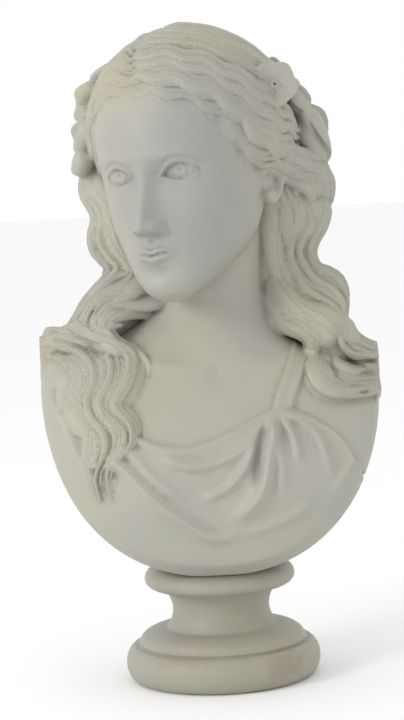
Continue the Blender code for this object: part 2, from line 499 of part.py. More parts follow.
RIGHT_SHOULDER = (
    ((-95, -2, 114), (-89, -5, 115), (-83, -9, 114), (-77, -18, 111), (-73, -24, 107), (-72, -28, 103), (-74, -31, 97), (-71, -34, 92)),
    ((-95, -2, 118), (-87, -6, 119), (-79, -10, 116), (-71, -19, 113), (-65, -27, 108), (-65, -32, 100), (-67, -35, 93), (-66, -39, 85), (-61, -43, 78), (-61, -45, 70), (-62, -46, 60), (-60, -48, 50)),
    ((-93, -3, 122), (-85, -6, 122), (-74, -12, 120), (-65, -19, 116), (-60, -27, 109), (-60, -33, 101), (-62, -36, 94), (-60, -40, 86), (-56, -44, 79), (-55, -46, 71), (-58, -47, 62), (-60, -48, 55), (-59, -49, 45)),
    ((-80, -8, 126), (-68, -14, 123), (-59, -19, 118), (-53, -28, 111), (-54, -33, 103), (-57, -37, 95), (-55, -41, 86), (-50, -45, 80), (-50, -47, 72), (-54, -48, 64), (-57, -49, 56), (-54, -50, 44)),
    ((-74, -12, 130), (-64, -17, 126), (-54, -24, 121), (-47, -27, 114), (-47, -34, 104), (-51, -38, 95), (-50, -42, 88), (-45, -45, 81), (-45, -48, 72), (-50, -49, 65), (-53, -50, 57), (-53, -51, 47)),
    ((-68, -17, 134), (-59, -22, 128), (-49, -27, 123), (-41, -28, 117), (-40, -32, 109), (-43, -37, 99), (-46, -40, 92), (-42, -44, 85), (-41, -47, 78), (-43, -49, 71), (-48, -50, 64), (-52, -50, 56), (-53, -51, 48)),
)
STRAYS = (
    (1.6, 1.3, ((-47, -17, 124), (-40, -24, 120), (-34, -28, 116), (-31, -31, 110), (-32, -34, 105))),
    (1.3, 1.1, ((-45, -20, 121), (-38, -27, 117), (-35, -29, 112), (-36, -33, 106))),
    (2.0, 2.2, ((-46, -19, 134), (-51, -21, 134), (-55, -23, 131), (-53, -25, 126), (-47, -27, 123))),
    (1.7, 2.0, ((-45, -21, 132), (-49, -23, 132), (-52, -25, 130), (-50, -27, 127), (-46, -28, 124))),
)
MASSES = (
    (9, 8, ((-26, 15, 142), (-33, 9, 136), (-41, 3, 129), (-50, -4, 121))),
    (9, 8, ((48, 18, 200), (46, 16, 180), (44, 14, 160), (50, 8, 143), (60, 3, 128), (72, 2, 112))),
    (10, 10, ((-34, 10, 152), (-43, 4, 142), (-53, -3, 132), (-66, -6, 121))),
    (8, 8, ((-48, 12, 215), (-44, 8, 195), (-42, 6, 178), (-40, 6, 163), (-48, 5, 148), (-60, 4, 134), (-74, 4, 120))),
)
MANE_AT, MANE = (3, 30, 170), (48, 17, 62)

# Hair on the head: degrees round from the face and up, and how far the hair's top lies over its oval
LEFT_FRONT = (
    ((-3, 30, .2), (2, 30, .8), (12, 27.5, .9), (23, 23.5, .7), (36, 18, -.2), (49, 9, -2), (57, -1, -3), (64, -11, -2.6), (74, -18, -1), (90, -22, 1.5), (106, -22, 3), (118, -22, 4)),
    ((-6, 33, .8), (0, 33, 2.2), (13, 31, 2.4), (25, 27, 2.2), (39, 21, 1.4), (52, 12, -.2), (60, 2, -.8), (68, -8, -.4), (80, -15, .8), (96, -19, 2.8), (110, -20, 3.8), (117, -20, 4.2)),
    ((-10, 38, 1), (-3, 38, 2.8), (14, 36.5, 3.2), (29, 32, 3.2), (43, 25.5, 2.6), (56, 15.5, 1.6), (65, 4.5, 1.2), (74, -5, 1.4), (88, -12, 2.2), (102, -16, 3.4), (116, -17, 4.2)),
    ((-18, 47, 1), (-10, 47, 2.8), (10, 46.5, 3.6), (30, 42, 3.6), (46, 35, 3.2), (58, 26, 2.8), (69, 16, 2.4), (80, 7, 2.4), (92, 0, 3), (106, -6, 3.8), (117, -11, 4.6)),
    ((-28, 56, 1), (-18, 56, 2.8), (10, 55, 3.6), (32, 51, 3.6), (48, 45, 3.4), (61, 37, 3.2), (72, 28, 3), (84, 19, 3), (96, 10, 3.2), (108, 1, 3.8), (117, -6, 4.6)),
)
RIGHT_FRONT = (
    ((1, 30, .2), (-5, 30, .8), (-14, 29, .9), (-26, 26.5, .5), (-40, 21, -.8), (-49, 11, -2.4), (-54, 0, -3), (-60, -10, -2.6), (-70, -18, -1), (-86, -22, 1.5), (-104, -22, 3)),
    ((0, 33, .8), (-7, 33, 2.2), (-16, 33, 2.4), (-29, 31, 2), (-43, 25, 1), (-52, 15, -.2), (-58, 3, -.8), (-65, -7, -.4), (-76, -15, .8), (-94, -18, 2.6)),
    ((-2, 38, 1), (-9, 38.5, 2.8), (-18, 39, 3.2), (-33, 37, 3), (-47, 30, 2.4), (-56, 19, 1.6), (-63, 7, 1.2), (-71, -4, 1.4), (-84, -11, 2.2), (-102, -14, 3.2)),
    ((-7, 47, 1), (-16, 47.5, 2.8), (-28, 48, 3.6), (-44, 44, 3.4), (-57, 36, 3), (-66, 24, 2.6), (-74, 13, 2.2), (-84, 4, 2.4), (-102, -5, 3.2)),
    ((-14, 57, 1), (-25, 57, 2.8), (-38, 57, 3.6), (-56, 52, 3.4), (-68, 42, 3.2), (-77, 31, 3), (-86, 20, 2.8), (-94, 11, 2.8), (-106, 3, 3.2)),
)
LEFT_CROWN = (
    ((-32, 60, .4), (-20, 60.5, 2.2), (6, 60, 2.4), (32, 56, 2.4), (52, 49.5, 2.2), (67, 41, 2), (80, 32, 2), (92, 22.5, 2), (104, 13, 2)),
    ((-42, 65, 1.2), (-26, 66, 3.2), (4, 66, 3.6), (34, 62, 3.6), (56, 54, 3.2), (72, 45, 2.8), (86, 35, 2.4), (98, 25, 2.2), (110, 14, 2)),
    ((-66, 73, 1.4), (-42, 75.5, 3.4), (0, 77, 3.8), (40, 72, 3.6), (66, 61, 3.2), (84, 49, 2.8), (98, 37, 2.4), (110, 26, 2), (120, 14, 1.8)),
    ((-104, 79, 1.4), (-80, 83, 3.4), (-20, 88, 3.6), (60, 83, 3.6), (88, 69, 3.2), (102, 54, 2.6), (114, 40, 2), (124, 26, 1.6), (132, 12, 1.4)),
)
RIGHT_CROWN = (
    ((-18, 60.5, .4), (-32, 60.5, 2.2), (-50, 58, 2.4), (-68, 50.5, 2.2), (-80, 40.5, 2), (-90, 30, 2), (-100, 19, 2), (-108, 9, 2)),
    ((-20, 67, 1.2), (-42, 67, 3.2), (-62, 64, 3.4), (-80, 55, 3), (-92, 44, 2.8), (-101, 32, 2.4), (-110, 20, 2.2), (-116, 9, 2)),
    ((-34, 76, 1.4), (-66, 75, 3.4), (-92, 68, 3.2), (-104, 57, 2.8), (-112, 44, 2.4), (-118, 31, 2), (-124, 18, 1.8), (-128, 6, 1.6)),
    ((-60, 83, 1.4), (-100, 80, 3.4), (-122, 72, 3), (-128, 58, 2.6), (-132, 44, 2), (-136, 30, 1.6), (-138, 16, 1.4), (-140, 4, 1.4)),
)


def strands(clay, lines, count, share, thick, lift, seed, wave, lumps, soft, tip, root, uneven=0):
    """Strands side by side between the guiding lines, each as wide as its share of the room there."""
    made = []
    for i in range(count):
        at = (len(lines) - 1) * i / (count - 1)
        k = min(int(at), len(lines) - 2)
        path = lines[k] + (lines[k + 1] - lines[k]) * (at - k)
        room = np.linalg.norm(lines[k + 1] - lines[k], axis=1) * (len(lines) - 1) / (count - 1)
        last = int(len(path) * (1 - uneven * (0, .34, .14, .24)[i % 4]) + .5)
        path, room = path[:last], room[:last]
        path = path + outward(path) * (lift + lumps * (math.cos(2.0944 * (i - 1)) + .25 * math.sin(1.9 * i + seed)))
        wide = np.clip(room * share * (1 + .2 * math.sin(3.1 * i + seed)), 1.5, 12)
        made.append(lock(clay, path, wide, thick, (wave[0], wave[1], wave[2] + .1 * i), (0, 4, 0), soft, tip, root))
    return made


def sheet(clay, guides, count, thick, body, fine, seed=0.0, wave=(0, 20, 0), lumps=.5, tip=.35, root=.6, uneven=0, swing=1.0):
    """A sheet of hair: a full body, with fine strands along its outside."""
    lines = np.array([through(guide, 26) for guide in guides])
    ends = np.pad(lines, ((0, 0), (4, 4), (0, 0)), "reflect", reflect_type="odd")
    calm = sum(ends[:, i:i + 26] for i in range(9)) / 9
    lines = calm + swing * (lines - calm)
    few = max(len(guides), int(round(count / 1.8)))
    under = body - thick * (.12 if fine else .85)
    strands(clay, lines, few, .85, body, -under, seed, wave, 0, 1.5, tip, max(root, .6))
    if fine:
        clay.threads += strands(clay, lines, count, .66, thick, 0, seed, wave, lumps, .3, tip, root, uneven)


def over_head(guides, thick):
    """Guiding lines on the head, brought down so that the strands' tops lie at the given heights."""
    made = []
    for guide in guides:
        guide = np.array(guide, float)
        made.append(on_head(guide[:, 0], guide[:, 1], guide[:, 2] - thick))
    return made


def curtain():
    """The hair from the crown down the back of the head, hanging from ear to ear on to the shoulders."""
    made = []
    for k in range(9):
        turn = math.radians(4 + 21.5 * k)
        cos, sin = math.cos(turn), math.sin(turn)
        sway = 2.4 * math.cos(.75 * k)
        rise = np.array([76, 62, 47, 32, 17, 3, -10])
        over = on_head(180 + (116 + 16.5 * k - 180) * np.array([.9, 1, 1, 1, 1, 1, 1]) + sway * .7 * np.array([0, 0, 1, -1, 1, -1, 1]), rise,
                       np.array([2, 2.4, 2, 1.6, 1.2, 1, 1]) - 2.8)
        places = ((190, 56, 15, 36, -sway), (174, 54, 14, 36, sway), (158, 56, 13, 35, -sway), (142, 61, 9, 34, sway), (127, 66, 5, 34, -sway), (113 - 7 * sin, 72, 1, 34, sway))
        made.append(list(map(tuple, over)) + [(3 + wide * cos - side * sin, at + deep * sin + side * cos * .6, z) for z, wide, at, deep, side in places])
    return made


def resting(guides, lift):
    """Guiding lines brought on to the chest where they reach it."""
    made = []
    for guide in guides:
        guide = np.array(guide, float)
        rest = chest_front(guide[:, 0], guide[:, 2]) - lift
        guide[:, 1] += (rest - guide[:, 1]) * ramp(guide[:, 2], 124, 108) * ramp(np.abs(guide[:, 0]), 90, 82)
        made.append(guide)
    return made


def dress_hair(clay, fine):
    for wide, thick, path in MASSES:
        lock(clay, path, wide, thick, tip=.6, root=.8)
    crimp = (1.35, 20, .2)
    for guides, side in ((LEFT_FRONT, 0), (RIGHT_FRONT, 1)):
        sheet(clay, over_head(guides, 3.4), 9, 3.4, 4, fine, 1.3 + side, crimp, .6, .7, .5)
    for guides, side in ((LEFT_CROWN, 0), (RIGHT_CROWN, 1)):
        sheet(clay, over_head(guides, 3.0), 8, 3.0, 4, fine, .4 + side, (.6, 24, 0), .5, .7, .6)
    sheet(clay, curtain(), 34, 2.8, 7, fine, .2, (1.2, 25, .5), .7, .6, .6)
    sheet(clay, LEFT_NECK, 5, 2.4, 5, fine, .8)
    sheet(clay, LEFT_FALL, 10, 3.0, 6, fine, .3, lumps=1.2, tip=.9, swing=1.7)
    sheet(clay, resting(LEFT_CURL, 2.6), 5, 3.0, 4, fine, 1.1, lumps=.8, tip=.9, swing=1.1)
    sheet(clay, LEFT_ROLL, 6, 2.8, 4, fine, 2.0, lumps=.7, tip=.6, root=.4)
    sheet(clay, RIGHT_FALL, 7, 3.0, 6, fine, .5, lumps=1.2, tip=.9, swing=1.6)
    sheet(clay, RIGHT_CHEEK, 6, 2.8, 5, fine, 1.6, lumps=1.0, swing=1.3)
    sheet(clay, resting(RIGHT_SHOULDER, 2.6), 12, 3.2, 3.4, fine, .7, lumps=.5, tip=.4, root=.9, uneven=.6, swing=1.4)
    sheet(clay, resting(RIGHT_NECK, 3.0), 4, 2.4, 3.5, fine, 2.4, tip=.6)
    for wide, thick, path in STRAYS:
        lock(clay, path, wide, thick, soft=.6, tip=.3)


def flower(clay, at, face, radius, turn, fine):
    """A funnel-shaped bindweed flower, its mouth looking along face."""
    face = np.asarray(face, float) / np.linalg.norm(face)
    u = np.cross([0, 0, 1], face)
    u /= np.linalg.norm(u)
    v = np.cross(face, u)
    at = np.asarray(at, float)
    reach = radius * 1.25

    def field(x, y, z):
        dx, dy, dz = x - at[0], y - at[1], z - at[2]
        a = dx * u[0] + dy * u[1] + dz * u[2]
        b = dx * v[0] + dy * v[1] + dz * v[2]
        c = dx * face[0] + dy * face[1] + dz * face[2]
        r = np.hypot(a, b)
        angle = np.arctan2(b, a) + turn
        rim = radius * (1 + .05 * np.cos(5 * angle))
        share = r / rim
        top = radius * (.34 * np.minimum(share, 1.2) ** .7 - .30 + .05 * np.cos(5 * angle) * share ** 2)
        top = top - .6 * np.exp(-((share - .55) / .3) ** 2) * np.abs(np.cos(2.5 * angle)) ** 6
        pistil = np.hypot(r - .13 * radius, c + .16 * radius) - .07 * radius
        cup = np.maximum(common((c - top) * .9, (r - rim - .45 * np.minimum(c + 1.5, 0)) * .9, 1.0), -c - radius * .9)
        return np.minimum(cup, pistil) if fine else cup
    clay.add(at - reach, at + reach, field, .8)


def leaf(clay, at, along_to, out, length, wide, thick, crease):
    """A folded leaf or a bud: a pointed oval with a groove down its middle."""
    way = np.asarray(along_to, float) - at
    way /= np.linalg.norm(way)
    out = np.asarray(out, float) - way * np.dot(out, way)
    out /= np.linalg.norm(out)
    side = np.cross(way, out)
    at = np.asarray(at, float)
    middle = at + way * length / 2

    def field(x, y, z):
        dx, dy, dz = x - middle[0], y - middle[1], z - middle[2]
        a = (dx * way[0] + dy * way[1] + dz * way[2]) / (length / 2)
        b = dx * side[0] + dy * side[1] + dz * side[2]
        c = dx * out[0] + dy * out[1] + dz * out[2]
        w = wide * np.sqrt(np.clip(1 - a * a * (.8 + .2 * np.abs(a)), .01, 1)) * (1 - .25 * a)
        c = c + crease * np.exp(-(b / (.3 * wide)) ** 2) - .12 * b * b / wide * np.sign(crease)
        k = np.sqrt((b / w) ** 2 + (c / thick) ** 2 + (a ** 4) * .8)
        return (k - 1) * min(thick, wide) * .8
    clay.add(middle - length, middle + length, field, .8)


def bud(clay, root, tip, radius, turn):
    """A half-open flower: an egg of petals wrapped round each other."""
    root, tip = np.array(root, float), np.array(tip, float)
    length = np.linalg.norm(tip - root)
    way = (tip - root) / length
    u = np.cross(way, [0, 1, 0])
    u /= np.linalg.norm(u)
    v = np.cross(way, u)
    middle = (root + tip) / 2

    def field(x, y, z):
        dx, dy, dz = x - middle[0], y - middle[1], z - middle[2]
        a = (dx * way[0] + dy * way[1] + dz * way[2]) / (length / 2)
        b = dx * u[0] + dy * u[1] + dz * u[2]
        c = dx * v[0] + dy * v[1] + dz * v[2]
        angle = 4 * (np.arctan2(c, b) + turn + .7 * a + .35 * a * a)
        round_ = radius * np.sqrt(np.clip(1 - np.abs(a) ** 2.6, 0, 1)) * (1 - .22 * a)
        fold = np.mod(angle, 2 * np.pi) / (2 * np.pi)
        wall = round_ * (.68 + .4 * fold) + .5
        return np.maximum(np.hypot(b, c) - wall, (np.abs(a) - 1) * length / 2) * .8
    clay.add(middle - length * .7 - 3, middle + length * .7 + 3, field, .8)


# Garland: flowers (place, facing, radius), leaves (root, tip, width, thickness, fold) and buds (root, tip, radius)
FLOWERS = (
    ((41, -31, 253.5), (.22, -.93, .22), 11.8), ((-60, 4, 246), (-.8, -.55, .2), 9.0), ((-61, 2, 231), (-.75, -.65, -.05), 9.5),
    ((64, 14, 232), (.8, -.5, .2), 10.0), ((46, 20, 262), (.6, .3, .7), 9.0), ((-48, 24, 258), (-.6, .4, .6), 9.0), ((-3, 50, 262), (0, .8, .6), 10.0),
)
LEAVES = (
    ((22, -16, 269), (41, -2, 262), 7, 4, .8), ((50, -4, 256), (53, 4, 240), 6, 5, 1.2), ((-40, 10, 268), (-54, 16, 260), 6, 4, 1.0),
    ((54, -6, 244), (60, 0, 226), 5, 3.5, 1.0), ((-58, -4, 224), (-64, 4, 212), 7, 6, 1.2),
    ((-50, 0, 258), (-62, 4, 252), 6, 5, 1.0), ((-55, 10, 240), (-60, 24, 236), 7, 5, 1.0),
    ((56, 20, 246), (58, 34, 240), 7, 5, 1.0), ((30, 34, 268), (12, 46, 266), 7, 4, 1.0), ((-30, 36, 266), (-14, 46, 264), 7, 4, 1.0),
)


BUDS = (
    ((56, 0, 241), (65, 10, 209), 9.5, .4), ((49, -10, 252), (58, 0, 236), 6, 1.2), ((-52, -6, 238), (-64, 0, 222), 6.5, 2.0),
)


def garland(clay, fine):
    for root, tip, radius, turn in BUDS:
        bud(clay, root, tip, radius, turn)
    for i, (at, face, radius) in enumerate(FLOWERS):
        flower(clay, at, face, radius, .3 + i, fine)
    for root, tip, wide, thick, fold in LEAVES:
        root, tip = np.array(root, float), np.array(tip, float)
        leaf(clay, root, tip, outward((root + tip)[None] / 2)[0], 1.15 * np.linalg.norm(tip - root), wide, thick, fold)


def ear(clay, side):
    centre = from_head((side * 42.5, -1, -1))
    rim = [from_head((side * (42.5 + b), -1 + a, -1 + c)) for a, b, c in
           ((7, 0, 4), (6, 1.5, 10), (0, 2.5, 13), (-7, 3, 9), (-8, 2.5, 2), (-5, 1.5, -6), (1, .5, -11), (5, 0, -8))]
    lock(clay, rim, 1.7, 2.4, tip=.9, root=.8)
    lobe = from_head((side * 42.0, 1.5, -9.5))
    clay.add(lobe - 9, lobe + 9, lambda x, y, z: np.sqrt((x - lobe[0]) ** 2 + (y - lobe[1]) ** 2 + ((z - lobe[2]) / 1.25) ** 2) - 3.4, 2.5)
    shell = from_head((side * 41.0, -2, 0))
    clay.add(shell - 14, shell + 14, lambda x, y, z: ellipsoid(*to_head(x, y, z), (side * 41, -2, 0), (2.6, 8, 11)), 1.5)


def build_bust(cell, fine=False):
    relief = dress_relief()
    low, high = (-96, -92, -4), (96, 80, 294)
    clay = Clay(low, high, cell)
    clay.add((-99, -90, -5), (99, 70, 175), chest_field(cell, lambda x, z: sampled(relief, DRESS_LOW, DRESS_STEP, x, z)), .01)
    clay.add((-50, -45, 70), (50, 60, 215), neck_field(cell), 16)
    clay.carve((-99, -90, -5), (99, 78, 160), scoops, 5)
    cut, (x, y, z) = clay.window((-99, -90, -5), (99, 78, 165))
    clay.depth[cut] = bevelled(clay.depth[cut], cut_field(cell)(x, y, z), z)
    head = Clay(low, high, cell)
    head.add((-80, -90, 112), (75, 70, 290), face_field(cell), .01)
    head.add((-75, -80, 112), (75, 78, 294), skull_field, 8)
    clay.depth = union(clay.depth, head.depth, 5)
    clay.add((-75, -80, 120), (75, 78, 294), hair_cap, 2)
    clay.add((-75, -10, 98), (75, 70, 240), lambda x, y, z: ellipsoid(x, y, z, MANE_AT, MANE), 6)
    ear(clay, 1)
    ear(clay, -1)
    dress_hair(clay, fine)
    garland(clay, fine)
    cut, (x, y, z) = clay.window((-99, -90, -5), (99, 78, 294))
    clay.depth[cut] = np.maximum(clay.depth[cut], np.maximum(np.abs(x - CUT_AT[0]) - CUT_HALF + 0 * y, -z))
    return clay




def largest_piece(points, quads):
    """The outer skin alone, without loose crumbs or hollows closed up inside."""
    label = np.arange(len(points))
    while True:
        low = label[quads].min(axis=1)
        new = label.copy()
        for corner in range(4):
            np.minimum.at(new, quads[:, corner], low)
        new = new[new]
        if (new == label).all():
            break
        label = new
    keep = np.bincount(label[quads[:, 0]]).argmax()
    quads = quads[label[quads[:, 0]] == keep]
    used, quads = np.unique(quads, return_inverse=True)
    return points[used], quads.reshape(-1, 4)


def skin(clay):
    """The modelled surface as points and four-sided faces."""
    band = 3 * clay.cell
    grid = openvdb.FloatGrid(background=band)
    grid.copyFromArray(np.clip(clay.depth, -band, band))
    points, triangles, quads = grid.convertToPolygons(isovalue=0.0, adaptivity=0.0)
    return largest_piece(points * clay.cell + clay.low, quads)


def arc(centre, radii, start, end, count):
    angles = np.radians(np.linspace(start, end, count))
    return [(centre[0] + radii[0] * math.cos(a), centre[1] + radii[1] * math.sin(a)) for a in angles]


def socle_profile():
    """The turned outline of the socle, from the middle of its underside to the middle of its top."""
    foot = arc((BASE_RADIUS - 0.0065, BASE_HEIGHT / 2), (0.0065, BASE_HEIGHT / 2), -90, 72, 9)
    lip = [(LIP_RADIUS, BASE_HEIGHT - 0.0002), (LIP_RADIUS + 0.0002, BASE_HEIGHT + 0.001), (LIP_RADIUS - 0.0006, BASE_HEIGHT + 0.0018)]
    slope = arc((SCOTIA_RADIUS, BASE_HEIGHT + 0.0018), (LIP_RADIUS - 0.0008 - SCOTIA_RADIUS, SCOTIA_LOW - BASE_HEIGHT - 0.0018), 18, 90, 4)
    middle, half = (SCOTIA_LOW + SCOTIA_HIGH) / 2, (SCOTIA_HIGH - SCOTIA_LOW) / 2
    scotia = [(WAIST_RADIUS + (SCOTIA_RADIUS - WAIST_RADIUS) * t * t, middle + half * t) for t in np.linspace(-0.75, 1, 7)]
    rim = [(RIM_RADIUS - 0.0035, RIM_HEIGHT - 0.0046), (RIM_RADIUS - 0.0008, RIM_HEIGHT - 0.0022)]
    crown = arc((RIM_RADIUS - 0.0068, RIM_HEIGHT), (0.0068, SOCLE_HEIGHT - RIM_HEIGHT), 0, 90, 5)
    return [(0, 0)] + foot + lip + slope + scotia + rim + crown + [(0, SOCLE_HEIGHT)]


def clay_finish(name, colour, roughness):
    """The matt porcelain of one piece."""
    made = bpy.data.materials.new(name)
    made.use_nodes = True
    shader = made.node_tree.nodes["Principled BSDF"]
    shader.inputs["Base Color"].default_value = (*colour, 1)
    shader.inputs["Roughness"].default_value = roughness
    shader.inputs["Metallic"].default_value = 0
    return made


def node(name, points, faces, edges, finish):
    mesh = bpy.data.meshes.new(name)
    mesh.from_pydata([tuple(p) for p in points], list(edges), faces)
    mesh.materials.append(finish)
    if faces:
        mesh.shade_smooth()
    piece = bpy.data.objects.new(name, mesh)
    GROUP.objects.link(piece)
    return piece


def build_socle():
    profile = [(r, 0, z) for r, z in reversed(socle_profile())]
    socle = node("socle", profile, [], [(i, i + 1) for i in range(len(profile) - 1)], clay_finish("socle_parian", SOCLE_COLOUR, ROUGHNESS))
    turn = socle.modifiers.new("turn", "SCREW")
    turn.axis, turn.angle = "Z", math.tau
    turn.steps = turn.render_steps = TURN_STEPS
    turn.use_merge_vertices, turn.merge_threshold = True, 1e-5
    turn.use_normal_calculate, turn.use_smooth_shade = True, True
    return socle


def build_cast():
    points, quads = skin(build_bust(CELL))
    points[:, 2] -= points[:, 2].min()
    points = points * (BUST_HEIGHT / points[:, 2].max())
    points[:, 2] += SOCLE_HEIGHT + SEAT_GAP
    bust = node("bust", points, quads.tolist(), [], clay_finish("bust_parian", BUST_COLOUR, ROUGHNESS))
    thin = bust.modifiers.new("thin", "DECIMATE")
    thin.ratio = BUST_TRIANGLES / (2 * len(quads))
    return bust


for startup in list(bpy.data.objects):
    bpy.data.objects.remove(startup)
GROUP = bpy.data.collections.new("parian_bust")
bpy.context.scene.collection.children.link(GROUP)
build_socle()
build_cast()
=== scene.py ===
"""The dressed parian bust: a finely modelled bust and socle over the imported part, with
their unglazed porcelain finish, the floor, the lights and the camera."""

import math

import bpy
import numpy as np
import openvdb
from mathutils import Matrix, Vector
from mathutils.kdtree import KDTree


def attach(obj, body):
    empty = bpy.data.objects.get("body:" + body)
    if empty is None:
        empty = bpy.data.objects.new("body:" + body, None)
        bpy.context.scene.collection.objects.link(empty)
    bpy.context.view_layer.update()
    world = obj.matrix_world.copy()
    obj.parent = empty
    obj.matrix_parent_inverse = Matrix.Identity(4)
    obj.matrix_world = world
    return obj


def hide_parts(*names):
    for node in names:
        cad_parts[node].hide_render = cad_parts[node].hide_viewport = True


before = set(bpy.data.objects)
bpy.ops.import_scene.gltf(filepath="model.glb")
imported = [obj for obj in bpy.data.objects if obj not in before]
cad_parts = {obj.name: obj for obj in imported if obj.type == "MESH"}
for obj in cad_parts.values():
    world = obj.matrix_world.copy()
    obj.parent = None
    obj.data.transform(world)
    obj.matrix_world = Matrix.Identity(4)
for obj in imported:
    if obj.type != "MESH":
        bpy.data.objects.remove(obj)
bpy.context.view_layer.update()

# Sizes in metres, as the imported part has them
BUST_HEIGHT = 0.2847
SEAT_GAP = 0.0003
SOCLE_HEIGHT = 0.060
BASE_RADIUS, BASE_HEIGHT = 0.0515, 0.0190
LIP_RADIUS = 0.0443
SCOTIA_RADIUS, SCOTIA_LOW, SCOTIA_HIGH = 0.0292, 0.0274, 0.0476
WAIST_RADIUS = 0.0255
RIM_RADIUS, RIM_HEIGHT = 0.0398, 0.0537

# Fineness
CELL = 0.7
MOST_TRIANGLES = 190000
TURN_STEPS = 192
THIRD_TURN = 2.0944

# Camera, as the photograph's: place in metres, angles in radians, lens and sensor in millimetres
CAMERA_AT = (0, -1.25, .29751)
CAMERA_PITCH, CAMERA_PAN, CAMERA_ROLL = 0.10272, -0.00296, -0.04948
CAMERA_LENS, CAMERA_SENSOR, CAMERA_REACH = 119.45, 36, 30

# Studio: metres, watts and shares of full light
FLOOR_HALF, FLOOR_TONE, FLOOR_ROUGHNESS, SKY = 6, .94, .9, 1.0
KEY_AT, KEY_AIM, KEY_SIZE, KEY_POWER = (-1.1, -.85, .7), (0, 0, .18), .4, 7.5
FILL_AT, FILL_AIM, FILL_SIZE, FILL_POWER = (1.0, -.9, .25), (0, 0, .15), .8, .4

# From here the bust is laid out in millimetres over its seat

FAR = 40.0


def spline(at, knots):
    """A smooth curve through (position, value) knots, held level past both ends."""
    at = np.asarray(at, np.float32)
    place = np.array([k[0] for k in knots], np.float32)
    value = np.array([k[1] for k in knots], np.float32)
    rise = np.diff(value) / np.diff(place)
    slope = np.concatenate([rise[:1], (rise[:-1] + rise[1:]) / 2, rise[-1:]])
    at = np.clip(at, place[0], place[-1])
    i = np.clip(np.searchsorted(place, at, side="right") - 1, 0, len(place) - 2)
    span = (place[1:] - place[:-1])[i]
    t = (at - place[i]) / span
    a, b = value[i], value[i + 1]
    ma, mb = slope[i] * span, slope[i + 1] * span
    return (a * (1 + 2 * t) * (1 - t) ** 2 + ma * t * (1 - t) ** 2
            + b * t * t * (3 - 2 * t) - mb * t * t * (1 - t))


def through(points, count):
    """Evenly counted places along a smooth line through the given points."""
    points = np.asarray(points, float)
    run = np.concatenate([[0], np.cumsum(np.linalg.norm(np.diff(points, axis=0), axis=1))])
    at = np.linspace(0, run[-1], count)
    return np.stack([spline(at, list(zip(run, column))) for column in points.T], axis=1)


def ramp(value, start, end):
    t = np.clip((value - start) / (end - start), 0, 1)
    return t * t * (3 - 2 * t)


def union(a, b, soft):
    """Both shapes, with the crease between them filled to a soft radius."""
    h = np.maximum(soft - np.abs(a - b), 0) / soft
    return np.minimum(a, b) - h * h * soft / 4


def common(a, b, soft):
    """What both shapes share, with the edge between them rounded."""
    return -union(-a, -b, soft)


def ellipsoid(x, y, z, centre, radii):
    dx, dy, dz = x - centre[0], y - centre[1], z - centre[2]
    k0 = np.sqrt((dx / radii[0]) ** 2 + (dy / radii[1]) ** 2 + (dz / radii[2]) ** 2)
    k1 = np.sqrt((dx / radii[0] ** 2) ** 2 + (dy / radii[1] ** 2) ** 2 + (dz / radii[2] ** 2) ** 2)
    return k0 * (k0 - 1) / np.maximum(k1, 1e-6)


def level(shape, cell):
    """A field whose zero is the surface, turned into distances near that surface."""
    steep = np.gradient(shape, cell)
    return shape / np.maximum(np.sqrt(sum(s * s for s in steep)), 1e-4)


class Clay:
    """A block of small cells, each holding its distance to the modelled surface."""

    def __init__(self, low, high, cell):
        self.low, self.cell = np.array(low, float), cell
        self.counts = np.ceil((np.array(high) - self.low) / cell).astype(int) + 1
        self.depth = np.full(self.counts, FAR, np.float32)
        self.threads = []

    def window(self, low, high):
        cut, lines = [], []
        for axis in range(3):
            a = int(np.clip((low[axis] - self.low[axis]) // self.cell, 0, self.counts[axis] - 1))
            b = int(np.clip((high[axis] - self.low[axis]) // self.cell + 2, a + 1, self.counts[axis]))
            cut.append(slice(a, b))
            line = (self.low[axis] + self.cell * np.arange(a, b)).astype(np.float32)
            lines.append(line.reshape([-1 if k == axis else 1 for k in range(3)]))
        return tuple(cut), lines

    def add(self, low, high, field, soft):
        cut, (x, y, z) = self.window(low, high)
        self.depth[cut] = union(self.depth[cut], field(x, y, z), soft)

    def carve(self, low, high, field, soft):
        cut, (x, y, z) = self.window(low, high)
        self.depth[cut] = common(self.depth[cut], -field(x, y, z), soft)


# The head's own frame: to her left, forward, up
HEAD_AT = np.array([-2.0, -5.0, 203.0])
HEAD_TURN, HEAD_LEAN, HEAD_NOD = 27.0, 4.0, 4.0


def head_frame():
    turn, lean, nod = (math.radians(a) for a in (HEAD_TURN, HEAD_LEAN, HEAD_NOD))
    side, face, up = np.eye(3)[0], -np.eye(3)[1], np.eye(3)[2]
    face, up = math.cos(nod) * face - math.sin(nod) * up, math.cos(nod) * up + math.sin(nod) * face
    side, up = math.cos(lean) * side + math.sin(lean) * up, math.cos(lean) * up - math.sin(lean) * side
    swing = np.array([[math.cos(turn), math.sin(turn), 0], [-math.sin(turn), math.cos(turn), 0], [0, 0, 1]])
    return np.stack([swing @ side, swing @ face, swing @ up])


HEAD = head_frame()


def to_head(x, y, z):
    dx, dy, dz = x - HEAD_AT[0], y - HEAD_AT[1], z - HEAD_AT[2]
    return tuple(np.float32(r[0]) * dx + np.float32(r[1]) * dy + np.float32(r[2]) * dz for r in HEAD)


def from_head(points):
    return HEAD_AT + np.asarray(points) @ HEAD


